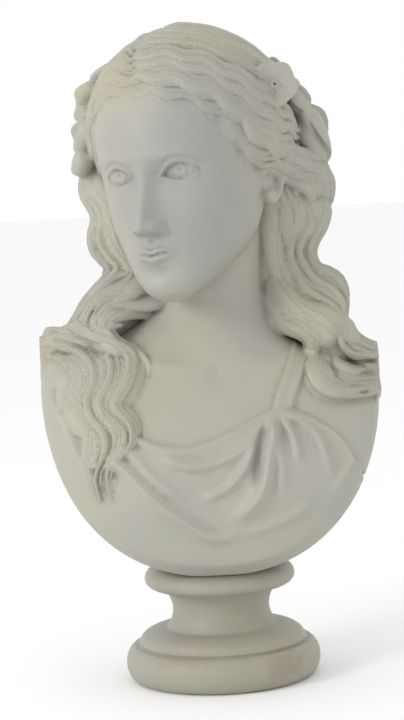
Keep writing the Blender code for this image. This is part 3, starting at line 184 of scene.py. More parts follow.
# Face: plain classical oval, by height over the ear line
MASK_WIDTH = ((-56, 5), (-51, 13.5), (-46, 19.5), (-38, 26.5), (-28, 33), (-16, 38), (0, 41), (15, 42),
    (30, 42), (45, 39), (58, 33), (70, 20), (78, 5))
MASK_CENTRE = ((-56, 42), (-51, 38), (-46, 32), (-38, 22), (-31, 13), (-20, 8), (0, 6), (78, 6))
MASK_FRONT = ((-56, 44), (-52.5, 50.5), (-48, 53.5), (-42, 54.8), (-34, 55.8), (-28, 56.5), (-18, 56.2),
    (-6, 55), (4, 54.6), (12, 55.4), (20, 57), (30, 57.5), (42, 55), (52, 50), (62, 41), (70, 30), (78, 10))
MASK_BACK = ((-56, 3), (-51, 8), (-46, 14), (-38, 22), (-28, 22), (78, 20))
MASK_POWER = 2.25


def mask_front(across, z):
    centre = spline(z, MASK_CENTRE)
    share = np.clip(across / spline(z, MASK_WIDTH), 0, 0.995)
    return centre + (spline(z, MASK_FRONT) - centre) * (1 - share ** MASK_POWER) ** (1 / MASK_POWER)


def mound(a, z, at_a, at_z, wide, high):
    return np.exp(-((a - at_a) / wide) ** 2 - ((z - at_z) / high) ** 2)


EYE_AT, EYE_RADIUS, EYE_SPAN = (17.4, 10.5), 9.6, 18.6
RELIEF_LOW, RELIEF_STEP, RELIEF_COUNT = (-46.0, -62.0), 0.25, (369, 569)


def brow_and_cheeks(a, z):
    f = 1.1 * mound(a, z, 13, 19.5, 13, 4.5) + 0.9 * mound(a, z, 24, 18, 8, 4)
    f -= 1.0 * mound(a, z, 38, 24, 7, 12)
    arch = 17.6 + 3.2 * np.sin(np.clip((a - 5) / 26, 0, 1) * 2.4)
    f += .55 * np.exp(-((z - arch) / 1.5) ** 2) * ramp(a, 5, 9) * ramp(32 - a, 0, 9)
    f += 1.5 * mound(a, z, 24, -4, 10, 10) - 0.8 * mound(a, z, 23, -26, 8, 9)
    f -= 4.4 * mound(a, z, 17.0, 11, 10, 7) + 2.6 * mound(a, z, 8.2, 11, 4.0, 6.0)
    f += 2.2 * mound(a, z, 0, -28, 13, 9.5) - 2.0 * mound(a, z, 0, -37.4, 10, 3.0)
    return f + 2.8 * mound(a, z, 0, -45.5, 9.5, 6.2)


def nose(a, z):
    rise = spline(z, ((-24, 0), (-21.5, .5), (-19.8, 2.4), (-18.4, 6.6), (-17, 10.4), (-15, 13.0),
                      (-12.8, 13.7), (-10, 12.9), (-5, 10.7), (0, 8.3), (6, 5.5), (12, 3.2), (18, 1.4),
                      (25, 0)))
    half = spline(z, ((-22, 4.6), (-17, 5.3), (-13, 5.4), (-9, 4.7), (0, 4.3), (8, 4.3), (16, 6), (25, 10)))
    f = rise / (1 + (a / half) ** 2.5)
    f += 3.9 * np.exp(-(np.abs(a - 6.4) / 2.5) ** 2.2 - (np.abs(z + 14.8) / 3.3) ** 2.4)
    f -= 2.2 * mound(a, z, 3.9, -18.6, 1.9, 1.1)
    return f - 0.8 * mound(a, z, 9.9, -15.5, 1.4, 3.6)


def mouth(a, z):
    f = 0.35 * mound(a, z, 2.6, -22.6, 1.1, 2.4) - 0.7 * mound(a, z, 0, -22.4, 1.5, 2.4)
    t = np.clip(a / 12.0, 0, 1)
    line = (-29 - 0.6 * np.exp(-(a / 2.4) ** 2)
            + 0.4 * np.exp(-((a - 5.2) / 2.6) ** 2) + 0.5 * ramp(t, .75, 1))
    full = 1 - t ** 2.4
    top = line + 4.4 * full ** .9 * (1 - .16 * np.exp(-(a / 1.9) ** 2))
    low = line - 5.4 * full ** .8
    v = np.clip((z - line) / np.maximum(top - line, .3), 0, 1)
    f += 6.0 * full ** .8 * np.where(z > line, v ** .6 * (1 - v) ** 1.1, 0)
    v = np.clip((line - z) / np.maximum(line - low, .3), 0, 1)
    f += 6.9 * full ** .8 * np.where(z <= line, v ** .55 * (1 - v) ** 1.15, 0)
    f -= 0.9 * full ** .5 * np.exp(-((z - line) / 1.0) ** 2)
    return f - 0.7 * mound(a, z, 12.8, -28.8, 2.4, 2.2)


def eye(a, z, f):
    """Lids laid over a ball, with the opening between them, the iris ring and the pupil."""
    from_centre = np.hypot(a - EYE_AT[0], z - EYE_AT[1])
    share = (a - EYE_AT[0]) / EYE_SPAN + .5
    s = np.clip(share, 0, 1)
    axis = EYE_AT[1] - 1.1 + 1.5 * s
    top = axis + 5.5 * np.maximum(np.sin(np.pi * s ** .88), 0) ** .85
    low = axis - 3.4 * np.maximum(np.sin(np.pi * s ** 1.15), 0) ** .9
    opening = np.minimum(top - z, z - low)
    past = np.where(share < 0, share, share - 1) * EYE_SPAN
    opening = np.where((share < 0) | (share > 1), -np.hypot(past, z - axis), opening)
    seat = float(mask_front(np.float32(EYE_AT[0]), np.float32(EYE_AT[1]))) - 2.9 - EYE_RADIUS
    lid_radius = EYE_RADIUS + 1.6 * ramp(-opening, -.4, .9)
    lid = seat + np.sqrt(np.maximum(lid_radius ** 2 - from_centre ** 2, 1))
    lid -= 50 * ramp(from_centre, EYE_RADIUS * .9, EYE_RADIUS * 1.6)
    outer = -union(-f, -lid, 1.8)
    outer -= 1.0 * np.exp(-((z - top - 3.2) / .9) ** 2) * ramp(share, 0, .25) * ramp(1.15 - share, 0, .25)
    ball = seat - .5 + np.sqrt(np.maximum(EYE_RADIUS ** 2 - from_centre ** 2, 1))
    gaze = np.hypot(a - EYE_AT[0], z - EYE_AT[1] - .6)
    ball -= (0.6 * np.exp(-((gaze - 3.9) / .6) ** 2)
             + 1.3 * np.exp(-(np.hypot(a - EYE_AT[0], z - EYE_AT[1] - 1.1) / 1.35) ** 4))
    return outer + (ball - outer) * ramp(opening, -.6, .6)


def face_relief():
    across = RELIEF_LOW[0] + RELIEF_STEP * np.arange(RELIEF_COUNT[0], dtype=np.float32)
    height = RELIEF_LOW[1] + RELIEF_STEP * np.arange(RELIEF_COUNT[1], dtype=np.float32)
    z, a = np.meshgrid(height, np.abs(across))
    base = mask_front(a, z)
    return (eye(a, z, base + brow_and_cheeks(a, z) + nose(a, z) + mouth(a, z)) - base).astype(np.float32)


def sampled(table, low, step, x, z):
    i = np.clip((x - low[0]) / step, 0, table.shape[0] - 1.01)
    j = np.clip((z - low[1]) / step, 0, table.shape[1] - 1.01)
    a, b = i.astype(np.int32), j.astype(np.int32)
    u, v = i - a, j - b
    return ((table[a, b] * (1 - u) + table[a + 1, b] * u) * (1 - v)
            + (table[a, b + 1] * (1 - u) + table[a + 1, b + 1] * u) * v)


def face_field(cell):
    table = face_relief()

    def field(x, y, z):
        side, front, up = to_head(x, y, z)
        front = front - sampled(table, RELIEF_LOW, RELIEF_STEP, side, up) * ramp(front, 14, 30)
        centre = spline(up, MASK_CENTRE)
        depth = np.where(front > centre, spline(up, MASK_FRONT) - centre, spline(up, MASK_BACK))
        g = ((np.abs(side) / spline(up, MASK_WIDTH)) ** MASK_POWER
             + (np.abs(front - centre) / depth) ** MASK_POWER) ** (1 / MASK_POWER) - 1
        return level(np.maximum(g, np.maximum(-55.5 - up, up - 77.5) / 20), cell)
    return field


SKULL_AT, SKULL = np.array([0.0, -3.0, 25.0]), np.array([44.0, 56.0, 51.0])
HAIR = np.array([52.0, 61.0, 56.0])
HAIRLINE = ((-40, -14), (-20, -12), (0, -1), (14, 22), (34, 33), (53, 46), (62, 60), (90, 60))


def skull_field(x, y, z):
    return ellipsoid(*to_head(x, y, z), SKULL_AT, SKULL)


def hair_cap(x, y, z):
    """The mass of hair on the skull, behind the hairline."""
    side, front, up = to_head(x, y, z)
    cap = ellipsoid(side, front, up, SKULL_AT, HAIR - 4.5)
    return common(cap, (front - spline(up, HAIRLINE)) * 0.8, 4)


def neck_field(cell):
    def field(x, y, z):
        half = spline(z, ((80, 34), (105, 32.5), (125, 30), (150, 29.0), (175, 31), (200, 33)))
        across = spline(z, ((80, 3), (120, 3), (190, -1)))
        deep = spline(z, ((80, 14), (110, 10), (150, 6), (190, 4)))
        g = np.sqrt(((x - across) / half) ** 2 + ((y - deep) / (half * .97)) ** 2) - 1
        return level(np.maximum(g, (z - 200) / 30), cell)
    return field


CHEST_WIDTH = ((-20, 95), (0, 96), (40, 99), (60, 100), (80, 99), (92, 96), (101, 89), (109, 77), (116, 62),
    (123, 47), (131, 33), (141, 21), (155, 11), (176, 5))
CHEST_FRONT = ((-20, 36), (0, 43), (10, 48), (25, 53), (40, 55.5), (60, 53), (80, 46), (95, 38.5),
    (105, 33), (114, 28), (123, 22.5), (131, 16.5), (141, 11), (155, 7), (176, 4))
CHEST_BACK = ((-20, 20), (0, 24), (30, 34), (60, 40), (85, 42), (100, 40), (112, 36), (123, 30), (132, 21),
    (141, 14), (155, 8), (176, 4))
CHEST_POWER, SHOULDER_SLOPE = 2.3, 0.09


def chest_height(x, z):
    return z + SHOULDER_SLOPE * x * ramp(z, 40, 90)


def chest_front(x, z):
    z = chest_height(x, z)
    share = np.clip(np.abs(x) / spline(z, CHEST_WIDTH), 0, .995)
    return -spline(z, CHEST_FRONT) * (1 - share ** CHEST_POWER) ** (1 / CHEST_POWER)


def chest_field(cell, relief):
    def field(x, y, z):
        height = chest_height(x, z) + 0 * y
        y = y + relief(x, z) * ramp(-y, 0, 16)
        depth = np.where(y < 0, spline(height, CHEST_FRONT), spline(height, CHEST_BACK))
        g = ((np.abs(x) / spline(height, CHEST_WIDTH)) ** CHEST_POWER
             + (np.abs(y) / depth) ** CHEST_POWER) ** (1 / CHEST_POWER) - 1
        return level(g, cell)
    return field


CUT_AT, CUT_HALF, CUT_POWER = (0.3, 105.0), 89.5, 2.15
SEAT_DEPTH = 1.0


def cut_field(cell):
    """The rounded outline that the bust is cut to, seen from the front; it would end just below the seat."""
    def field(x, y, z):
        g = ((np.abs(x - CUT_AT[0]) / CUT_HALF) ** CUT_POWER
             + (np.maximum(CUT_AT[1] - z, 0) / (CUT_AT[1] + SEAT_DEPTH)) ** CUT_POWER)
        g = g ** (1 / CUT_POWER) - 1
        return level(g + 0 * y, cell)
    return field


def scoops(x, y, z):
    """The two hollows in the back, left and right of the post."""
    return np.minimum(ellipsoid(x, y, z, (47, 46, 18), (32, 40, 72)),
        ellipsoid(x, y, z, (-47, 46, 18), (32, 40, 72)))


def bevelled(body, wall, z):
    size = spline(z, ((0, 8.5), (40, 5), (90, 2.5)))
    return common(common(body, wall, 1.0), (body + wall + size) * math.sqrt(.5), 1.0)


def on_head(turn, rise, lift=0.0):
    """A place on the hair, by degrees round from the face and up, raised by a lift."""
    a, e = np.radians(turn), np.radians(rise)
    way = np.stack([np.sin(a) * np.cos(e), np.cos(a) * np.cos(e), np.sin(e)], axis=-1)
    return from_head(SKULL_AT + (HAIR + np.asarray(lift)[..., None]) * way)


def outward(points):
    """The way out of the hair at each place: away from the head, or the neck below it."""
    local = (points - HEAD_AT) @ HEAD.T - SKULL_AT
    head = (local / HAIR ** 2) @ HEAD
    head /= np.linalg.norm(head, axis=1)[:, None]
    low = points - np.array([0, 22, 0])
    low[:, 2] = 25
    low /= np.linalg.norm(low, axis=1)[:, None]
    x, z = np.clip(points[:, 0], -84, 84), points[:, 2]
    chest = np.stack([(chest_front(x + 1, z) - chest_front(x - 1, z)) / 2, np.full(len(x), -1.0),
        (chest_front(x, z + 1) - chest_front(x, z - 1)) / 2], axis=1)
    chest /= np.linalg.norm(chest, axis=1)[:, None]
    share = (ramp(z, 136, 116) * ramp(-points[:, 1], -4, 6))[:, None]
    low = chest * share + low * (1 - share)
    share = ramp(z, 150, 200)[:, None]
    mix = head * share + low * (1 - share)
    return mix / np.linalg.norm(mix, axis=1)[:, None]


def lock(clay, points, wide, thick, wave=(0, 20, 0), soft=1.0, tip=.25, root=.6):
    """One lock of hair: a flat oval swept along a line, with waves."""
    length = np.linalg.norm(np.diff(np.asarray(points, float), axis=0), axis=1).sum()
    count = max(4, int(length / 3.0))
    line = through(points, count)
    at = np.linspace(0, length, count)
    way = np.gradient(line, axis=0)
    way /= np.linalg.norm(way, axis=1)[:, None]
    out = outward(line)
    side = np.cross(way, out)
    side /= np.linalg.norm(side, axis=1)[:, None]
    swing = np.sin(2 * np.pi * (at / wave[1] + wave[2]))
    line = line + side * (wave[0] * swing)[:, None]
    way = np.gradient(line, axis=0)
    way /= np.linalg.norm(way, axis=1)[:, None]
    side = np.cross(way, out)
    side /= np.linalg.norm(side, axis=1)[:, None]
    out = np.cross(side, way)
    share = at / length
    size = np.minimum(root + (1 - root) * ramp(share, 0, .18), tip + (1 - tip) * ramp(1 - share, 0, .4))
    wide = np.interp(share, np.linspace(0, 1, np.size(wide)), np.atleast_1d(wide)) * size
    size = thick * size
    reach = wide.max() + thick + 2.5 * clay.cell
    for i in range(count - 1):
        low = np.minimum(line[i], line[i + 1]) - reach
        high = np.maximum(line[i], line[i + 1]) + reach
        cut, (x, y, z) = clay.window(low, high)
        step = line[i + 1] - line[i]
        dx, dy, dz = x - line[i][0], y - line[i][1], z - line[i][2]
        ahead = dx * way[i][0] + dy * way[i][1] + dz * way[i][2]
        left = ((step[0] - dx) * way[i + 1][0] + (step[1] - dy) * way[i + 1][1]
                + (step[2] - dz) * way[i + 1][2])
        s = np.clip(ahead / np.maximum(ahead + left, .3 * math.sqrt(step @ step)), 0, 1).astype(np.float32)
        px, py, pz = dx - s * step[0], dy - s * step[1], dz - s * step[2]
        b0, b1, n0, n1 = side[i], side[i + 1] - side[i], out[i], out[i + 1] - out[i]
        u = px * b0[0] + py * b0[1] + pz * b0[2] + s * (px * b1[0] + py * b1[1] + pz * b1[2])
        v = px * n0[0] + py * n0[1] + pz * n0[2] + s * (px * n1[0] + py * n1[1] + pz * n1[2])
        past = np.minimum(np.minimum(ahead, left), 0)
        w = wide[i] + s * (wide[i + 1] - wide[i])
        h = size[i] + s * (size[i + 1] - size[i])
        k0 = np.sqrt((u / w) ** 2 + (v / h) ** 2 + (past / h) ** 2) + 1e-6
        k1 = np.sqrt((u / w ** 2) ** 2 + (v / h ** 2) ** 2 + (past / h ** 2) ** 2) + 1e-9
        d = k0 * (k0 - 1) / k1
        clay.depth[cut] = union(clay.depth[cut], d, soft)
    return line, side


# Dress: the neckline, the strap and the folds, as (across, height) on the chest
NECKLINE = ((-90, 118), (-78, 106), (-65, 93), (-52, 83), (-39, 77), (-26, 72), (-15, 70.5), (-4, 72),
            (9, 77), (22, 83), (35, 87.5), (41, 86), (48, 84), (56, 79), (63, 74), (70, 65), (76, 52),
            (90, 20))
STRAP = ((36, 85), (40, 95), (45, 106), (50, 118), (53, 130))
FOLDS = (
    # height, width at the start and the end, then the way it runs
    (4.2, 3.2, 4.6, ((33, 86), (29, 68), (26, 54), (22, 44), (14, 36), (5, 29))),
    (-2.6, 2.0, 3.0, ((28, 80), (24, 72), (22, 60), (21, 47))),
    (2.2, 2.0, 2.6, ((35, 85), (38, 80), (42, 71), (44, 58))),
    (2.2, 1.8, 3.0, ((36, 85), (46, 80), (54, 73), (58, 62), (61, 50))),
    (1.8, 1.8, 2.6, ((38, 85), (51, 82), (65, 73), (73, 60))),
    (2.0, 2.2, 2.6, ((-28, 67), (-11, 61), (1, 62), (13, 67), (22, 74), (30, 83))),
    (2.2, 3.0, 2.4, ((-8, 43), (7, 50), (14, 57), (19, 65), (27, 79))),
    (3.2, 3.4, 3.2, ((-60, 71), (-45, 59), (-32, 45), (-17, 33), (-2, 23), (8, 24), (15, 33))),
    (1.8, 3.0, 2.8, ((-50, 74), (-40, 66), (-33, 58), (-24, 50), (-12, 43))),
    (1.6, 2.4, 3.2, ((30, 84), (33, 70), (35, 55), (33, 42))),
    (1.4, 3.0, 3.4, ((50, 40), (38, 32), (24, 27), (8, 24))),
    (1.6, 3.0, 3.0, ((-86, 100), (-78, 84), (-70, 66), (-58, 48))),
    (1.4, 2.6, 3.0, ((84, 84), (78, 70), (68, 52), (56, 38))),
)
DRESS_LOW, DRESS_STEP, DRESS_COUNT = (-98.0, -6.0), 0.5, (393, 293)


def along(path, x, z):
    """How far each place is from a path, and how far along it the nearest point lies."""
    line = through(path, 60)
    near, share = np.full(x.shape, 999, np.float32), np.zeros(x.shape, np.float32)
    for i in range(len(line) - 1):
        step = line[i + 1] - line[i]
        t = np.clip(((x - line[i][0]) * step[0] + (z - line[i][1]) * step[1]) / (step @ step), 0, 1)
        away = np.hypot(x - line[i][0] - t * step[0], z - line[i][1] - t * step[1])
        closer = away < near
        near, share = np.where(closer, away, near), np.where(closer, (i + t) / 59, share)
    return near, share


def dress_relief():
    across = DRESS_LOW[0] + DRESS_STEP * np.arange(DRESS_COUNT[0], dtype=np.float32)
    height = DRESS_LOW[1] + DRESS_STEP * np.arange(DRESS_COUNT[1], dtype=np.float32)
    z, x = np.meshgrid(height, across)
    under = spline(x, NECKLINE) - z
    strap, place = along(STRAP, x, z)
    cloth = np.maximum(ramp(under, -.6, .9), ramp(5.0 - strap, -.5, .9) * ramp(z, 84, 88))
    f = 1.5 * cloth + .9 * np.exp(-((under - 1.6) / 1.5) ** 2)
    f += .7 * cloth * np.exp(-((strap - 3.2) / 1.1) ** 2) * ramp(z, 86, 92)
    for high, thin, broad, path in FOLDS:
        away, place = along(path, x, z)
        size = .88 * (thin + (broad - thin) * place)
        ends = ramp(place, -.02, .15) * ramp(1 - place, -.02, .3)
        f += 1.2 * high * ends * ramp(under, -1, 3) * np.exp(-(away / size) ** 2)
    # collar bones and the hollow of the throat
    f += 1.6 * np.exp(-((z - 108 - .10 * np.abs(x - 3)) / 4) ** 2 - ((np.abs(x - 3) - 24) / 15) ** 2)
    f -= 1.8 * np.exp(-((x - 3) / 5) ** 2 - ((z - 107) / 5) ** 2)
    f += 3.5 * np.exp(-((np.abs(x - 1) - 32) / 21) ** 2 - ((z - 52) / 20) ** 2)
    return f.astype(np.float32)


# Hair: each sheet is given by the lines that its strands run between, as places over the seat
LEFT_FALL = (
    ((37, -12, 203), (39, -4, 191), (41, 0, 180), (42, 0, 171), (43, -2, 162), (46, -5, 153), (50, -8, 145),
     (56, -11, 138), (63, -13, 132), (68, -15, 126), (70, -17, 119), (76, -14, 112), (84, -9, 109),
     (95, -3, 106)),
    ((43, -9, 206), (47, -1, 193), (51, 2, 182), (49, 1, 172), (48, 0, 164), (51, -3, 156), (55, -6, 148),
     (62, -8, 142), (67, -10, 136), (69, -13, 127), (72, -14, 118), (79, -11, 113), (85, -7, 110),
     (95, -2, 108)),
    ((50, -2, 207), (54, 4, 195), (58, 5, 184), (56, 4, 175), (54, 3, 166), (56, 0, 158), (61, -2, 152),
     (66, -4, 146), (70, -7, 137), (72, -10, 128), (76, -10, 119), (81, -8, 115), (86, -5, 112),
     (95, 0, 109)),
    ((57, 8, 206), (60, 10, 196), (65, 9, 186), (64, 8, 177), (61, 7, 168), (61, 5, 161), (64, 2, 155),
     (69, 1, 151), (73, -1, 141), (73, -4, 129), (78, -5, 121), (82, -5, 117), (86, -3, 114), (95, 2, 110)),
)
LEFT_NECK = (
    ((35, 8, 196), (37, 2, 184), (39, -1, 172), (40, -3, 160), (45, -7, 149), (52, -10, 141)),
    ((32, 12, 194), (34, 5, 180), (35, 1, 167), (36, -2, 156), (40, -6, 146), (47, -10, 139)),
    ((30, 15, 190), (32, 8, 176), (33, 4, 162), (34, 0, 150), (38, -5, 141), (45, -10, 136)),
)
LEFT_CURL = (
    ((33, 6, 157), (38, -3, 152), (43, -8, 146), (48, -12, 140), (55, -15, 136), (63, -17, 133),
     (69, -19, 127), (70, -21, 119), (70, -21, 111), (75, -18, 106), (84, -11, 103), (95, -3, 101)),
    ((32, 6, 154), (36, -4, 149), (40, -9, 142), (45, -13, 136), (52, -17, 132), (59, -20, 129),
     (65, -22, 123), (66, -24, 115), (65, -25, 107), (71, -22, 101), (82, -13, 99), (95, -3, 97)),
    ((31, 6, 151), (34, -3, 145), (38, -9, 138), (43, -14, 131), (50, -18, 127), (56, -21, 124),
     (60, -24, 117), (61, -26, 109), (62, -27, 101), (69, -25, 96), (81, -15, 95), (95, -3, 94)),
    ((30, 6, 147), (33, -2, 142), (36, -9, 134), (42, -15, 127), (49, -19, 123), (54, -22, 119),
     (56, -25, 111), (57, -27, 103), (60, -29, 96), (68, -27, 92), (80, -17, 91), (95, -4, 91)),
)
LEFT_ROLL = (
    ((33, -33, 214), (38, -29, 212), (44, -21, 208), (50, -10, 205), (56, -2, 203), (61, 4, 197),
     (62, 10, 189), (58, 14, 182)),
    ((34, -31, 219), (40, -27, 216), (47, -18, 211), (54, -7, 208), (61, 1, 206), (66, 7, 199),
     (66, 12, 190), (60, 16, 181)),
    ((38, -28, 223), (44, -23, 220), (52, -14, 214), (59, -3, 211), (66, 6, 208), (70, 12, 200),
     (69, 16, 190), (62, 18, 181)),
)
RIGHT_FALL = (
    ((-55, 14, 224), (-59, 8, 214), (-61, 4, 202), (-57, 0, 189), (-58, -2, 177), (-56, -3, 168),
     (-51, -4, 161), (-56, -5, 153), (-63, -5, 144), (-69, -5, 135), (-76, -4, 128), (-85, -2, 121),
     (-95, 2, 117)),
    ((-53, 8, 224), (-55, 4, 214), (-56, 0, 202), (-53, -4, 189), (-53, -6, 178), (-51, -8, 169),
     (-48, -9, 161), (-53, -9, 154), (-59, -9, 146), (-66, -9, 137), (-73, -8, 129), (-83, -5, 120),
     (-95, 0, 115)),
    ((-51, 4, 222), (-52, 0, 211), (-51, -4, 199), (-48, -8, 187), (-48, -10, 177), (-46, -11, 168),
     (-43, -12, 161), (-49, -12, 155), (-56, -13, 148), (-62, -13, 140), (-69, -12, 131), (-78, -9, 122),
     (-95, -2, 113)),
)
RIGHT_CHEEK = (
    ((-51, 1, 212), (-50, -4, 199), (-47, -9, 185), (-45, -11, 172), (-41, -12, 164), (-39, -13, 158),
     (-44, -15, 153), (-52, -16, 149), (-59, -16, 144), (-65, -16, 137), (-70, -15, 128)),
    ((-50, 2, 208), (-49, -4, 195), (-45, -8, 180), (-41, -10, 167), (-35, -10, 161), (-33, -11, 156),
     (-37, -14, 151), (-46, -17, 148), (-54, -19, 146), (-60, -20, 141), (-64, -20, 134)),
    ((-49, 4, 204), (-48, -3, 192), (-44, -6, 176), (-38, -8, 164), (-32, -8, 158), (-28, -9, 152),
     (-31, -13, 147), (-40, -17, 145), (-50, -20, 144), (-57, -22, 141), (-61, -22, 135)),
)
RIGHT_NECK = (
    ((-25, 12, 157), (-28, 4, 152), (-31, -3, 148), (-35, -8, 145), (-42, -13, 144), (-50, -17, 143),
     (-56, -19, 141), (-60, -20, 135), (-58, -22, 129), (-53, -24, 124), (-46, -27, 120)),
    ((-26, 11, 153), (-29, 3, 149), (-31, -4, 145), (-35, -9, 142), (-42, -14, 141), (-49, -18, 141),
     (-54, -20, 138), (-57, -22, 133), (-55, -24, 129), (-49, -26, 125), (-44, -28, 120)),
    ((-27, 10, 149), (-29, 2, 146), (-31, -5, 141), (-35, -10, 139), (-41, -15, 139), (-48, -19, 138),
     (-52, -21, 136), (-54, -23, 132), (-52, -25, 129), (-48, -27, 125), (-43, -29, 120)),
)
RIGHT_SHOULDER = (
    ((-95, -2, 114), (-89, -5, 115), (-83, -9, 114), (-77, -18, 111), (-73, -24, 107), (-72, -28, 103),
     (-74, -31, 97), (-71, -34, 92)),
    ((-95, -2, 118), (-87, -6, 119), (-79, -10, 116), (-71, -19, 113), (-65, -27, 108), (-65, -32, 100),
     (-67, -35, 93), (-66, -39, 85), (-61, -43, 78), (-61, -45, 70), (-62, -46, 60), (-60, -48, 50)),
    ((-93, -3, 122), (-85, -6, 122), (-74, -12, 120), (-65, -19, 116), (-60, -27, 109), (-60, -33, 101),
     (-62, -36, 94), (-60, -40, 86), (-56, -44, 79), (-55, -46, 71), (-58, -47, 62), (-60, -48, 55),
     (-59, -49, 45)),
    ((-80, -8, 126), (-68, -14, 123), (-59, -19, 118), (-53, -28, 111), (-54, -33, 103), (-57, -37, 95),
     (-55, -41, 86), (-50, -45, 80), (-50, -47, 72), (-54, -48, 64), (-57, -49, 56), (-54, -50, 44)),
    ((-74, -12, 130), (-64, -17, 126), (-54, -24, 121), (-47, -27, 114), (-47, -34, 104), (-51, -38, 95),
     (-50, -42, 88), (-45, -45, 81), (-45, -48, 72), (-50, -49, 65), (-53, -50, 57), (-53, -51, 47)),
    ((-68, -17, 134), (-59, -22, 128), (-49, -27, 123), (-41, -28, 117), (-40, -32, 109), (-43, -37, 99),
     (-46, -40, 92), (-42, -44, 85), (-41, -47, 78), (-43, -49, 71), (-48, -50, 64), (-52, -50, 56),
     (-53, -51, 48)),
)
STRAYS = (
    (1.6, 1.3, ((-47, -17, 124), (-40, -24, 120), (-34, -28, 116), (-31, -31, 110), (-32, -34, 105))),
    (1.3, 1.1, ((-45, -20, 121), (-38, -27, 117), (-35, -29, 112), (-36, -33, 106))),
    (2.0, 2.2, ((-46, -19, 134), (-51, -21, 134), (-55, -23, 131), (-53, -25, 126), (-47, -27, 123))),
    (1.7, 2.0, ((-45, -21, 132), (-49, -23, 132), (-52, -25, 130), (-50, -27, 127), (-46, -28, 124))),
)
MASSES = (
    (9, 8, ((-26, 15, 142), (-33, 9, 136), (-41, 3, 129), (-50, -4, 121))),
    (9, 8, ((48, 18, 200), (46, 16, 180), (44, 14, 160), (50, 8, 143), (60, 3, 128), (72, 2, 112))),
    (10, 10, ((-34, 10, 152), (-43, 4, 142), (-53, -3, 132), (-66, -6, 121))),
    (8, 8, ((-48, 12, 215), (-44, 8, 195), (-42, 6, 178), (-40, 6, 163), (-48, 5, 148), (-60, 4, 134),
    (-74, 4, 120))),
)
MANE_AT, MANE = (3, 30, 170), (48, 17, 62)

# Hair on the head: degrees round from the face and up, and how far the hair's top lies over its oval
LEFT_FRONT = (
    ((-3, 30, .2), (2, 30, .8), (12, 27.5, .9), (23, 23.5, .7), (36, 18, -.2), (49, 9, -2), (57, -1, -3),
     (64, -11, -2.6), (74, -18, -1), (90, -22, 1.5), (106, -22, 3), (118, -22, 4)),
    ((-6, 33, .8), (0, 33, 2.2), (13, 31, 2.4), (25, 27, 2.2), (39, 21, 1.4), (52, 12, -.2), (60, 2, -.8),
     (68, -8, -.4), (80, -15, .8), (96, -19, 2.8), (110, -20, 3.8), (117, -20, 4.2)),
    ((-10, 38, 1), (-3, 38, 2.8), (14, 36.5, 3.2), (29, 32, 3.2), (43, 25.5, 2.6), (56, 15.5, 1.6),
     (65, 4.5, 1.2), (74, -5, 1.4), (88, -12, 2.2), (102, -16, 3.4), (116, -17, 4.2)),
    ((-18, 47, 1), (-10, 47, 2.8), (10, 46.5, 3.6), (30, 42, 3.6), (46, 35, 3.2), (58, 26, 2.8),
     (69, 16, 2.4), (80, 7, 2.4), (92, 0, 3), (106, -6, 3.8), (117, -11, 4.6)),
    ((-28, 56, 1), (-18, 56, 2.8), (10, 55, 3.6), (32, 51, 3.6), (48, 45, 3.4), (61, 37, 3.2), (72, 28, 3),
     (84, 19, 3), (96, 10, 3.2), (108, 1, 3.8), (117, -6, 4.6)),
)
RIGHT_FRONT = (
    ((1, 30, .2), (-5, 30, .8), (-14, 29, .9), (-26, 26.5, .5), (-40, 21, -.8), (-49, 11, -2.4),
     (-54, 0, -3), (-60, -10, -2.6), (-70, -18, -1), (-86, -22, 1.5), (-104, -22, 3)),
    ((0, 33, .8), (-7, 33, 2.2), (-16, 33, 2.4), (-29, 31, 2), (-43, 25, 1), (-52, 15, -.2), (-58, 3, -.8),
     (-65, -7, -.4), (-76, -15, .8), (-94, -18, 2.6)),
    ((-2, 38, 1), (-9, 38.5, 2.8), (-18, 39, 3.2), (-33, 37, 3), (-47, 30, 2.4), (-56, 19, 1.6),
     (-63, 7, 1.2), (-71, -4, 1.4), (-84, -11, 2.2), (-102, -14, 3.2)),
    ((-7, 47, 1), (-16, 47.5, 2.8), (-28, 48, 3.6), (-44, 44, 3.4), (-57, 36, 3), (-66, 24, 2.6),
     (-74, 13, 2.2), (-84, 4, 2.4), (-102, -5, 3.2)),
    ((-14, 57, 1), (-25, 57, 2.8), (-38, 57, 3.6), (-56, 52, 3.4), (-68, 42, 3.2), (-77, 31, 3),
     (-86, 20, 2.8), (-94, 11, 2.8), (-106, 3, 3.2)),
)
LEFT_CROWN = (
    ((-32, 60, .4), (-20, 60.5, 2.2), (6, 60, 2.4), (32, 56, 2.4), (52, 49.5, 2.2), (67, 41, 2),
     (80, 32, 2), (92, 22.5, 2), (104, 13, 2)),
    ((-42, 65, 1.2), (-26, 66, 3.2), (4, 66, 3.6), (34, 62, 3.6), (56, 54, 3.2), (72, 45, 2.8),
     (86, 35, 2.4), (98, 25, 2.2), (110, 14, 2)),
    ((-66, 73, 1.4), (-42, 75.5, 3.4), (0, 77, 3.8), (40, 72, 3.6), (66, 61, 3.2), (84, 49, 2.8),
     (98, 37, 2.4), (110, 26, 2), (120, 14, 1.8)),
    ((-104, 79, 1.4), (-80, 83, 3.4), (-20, 88, 3.6), (60, 83, 3.6), (88, 69, 3.2), (102, 54, 2.6),
     (114, 40, 2), (124, 26, 1.6), (132, 12, 1.4)),
)
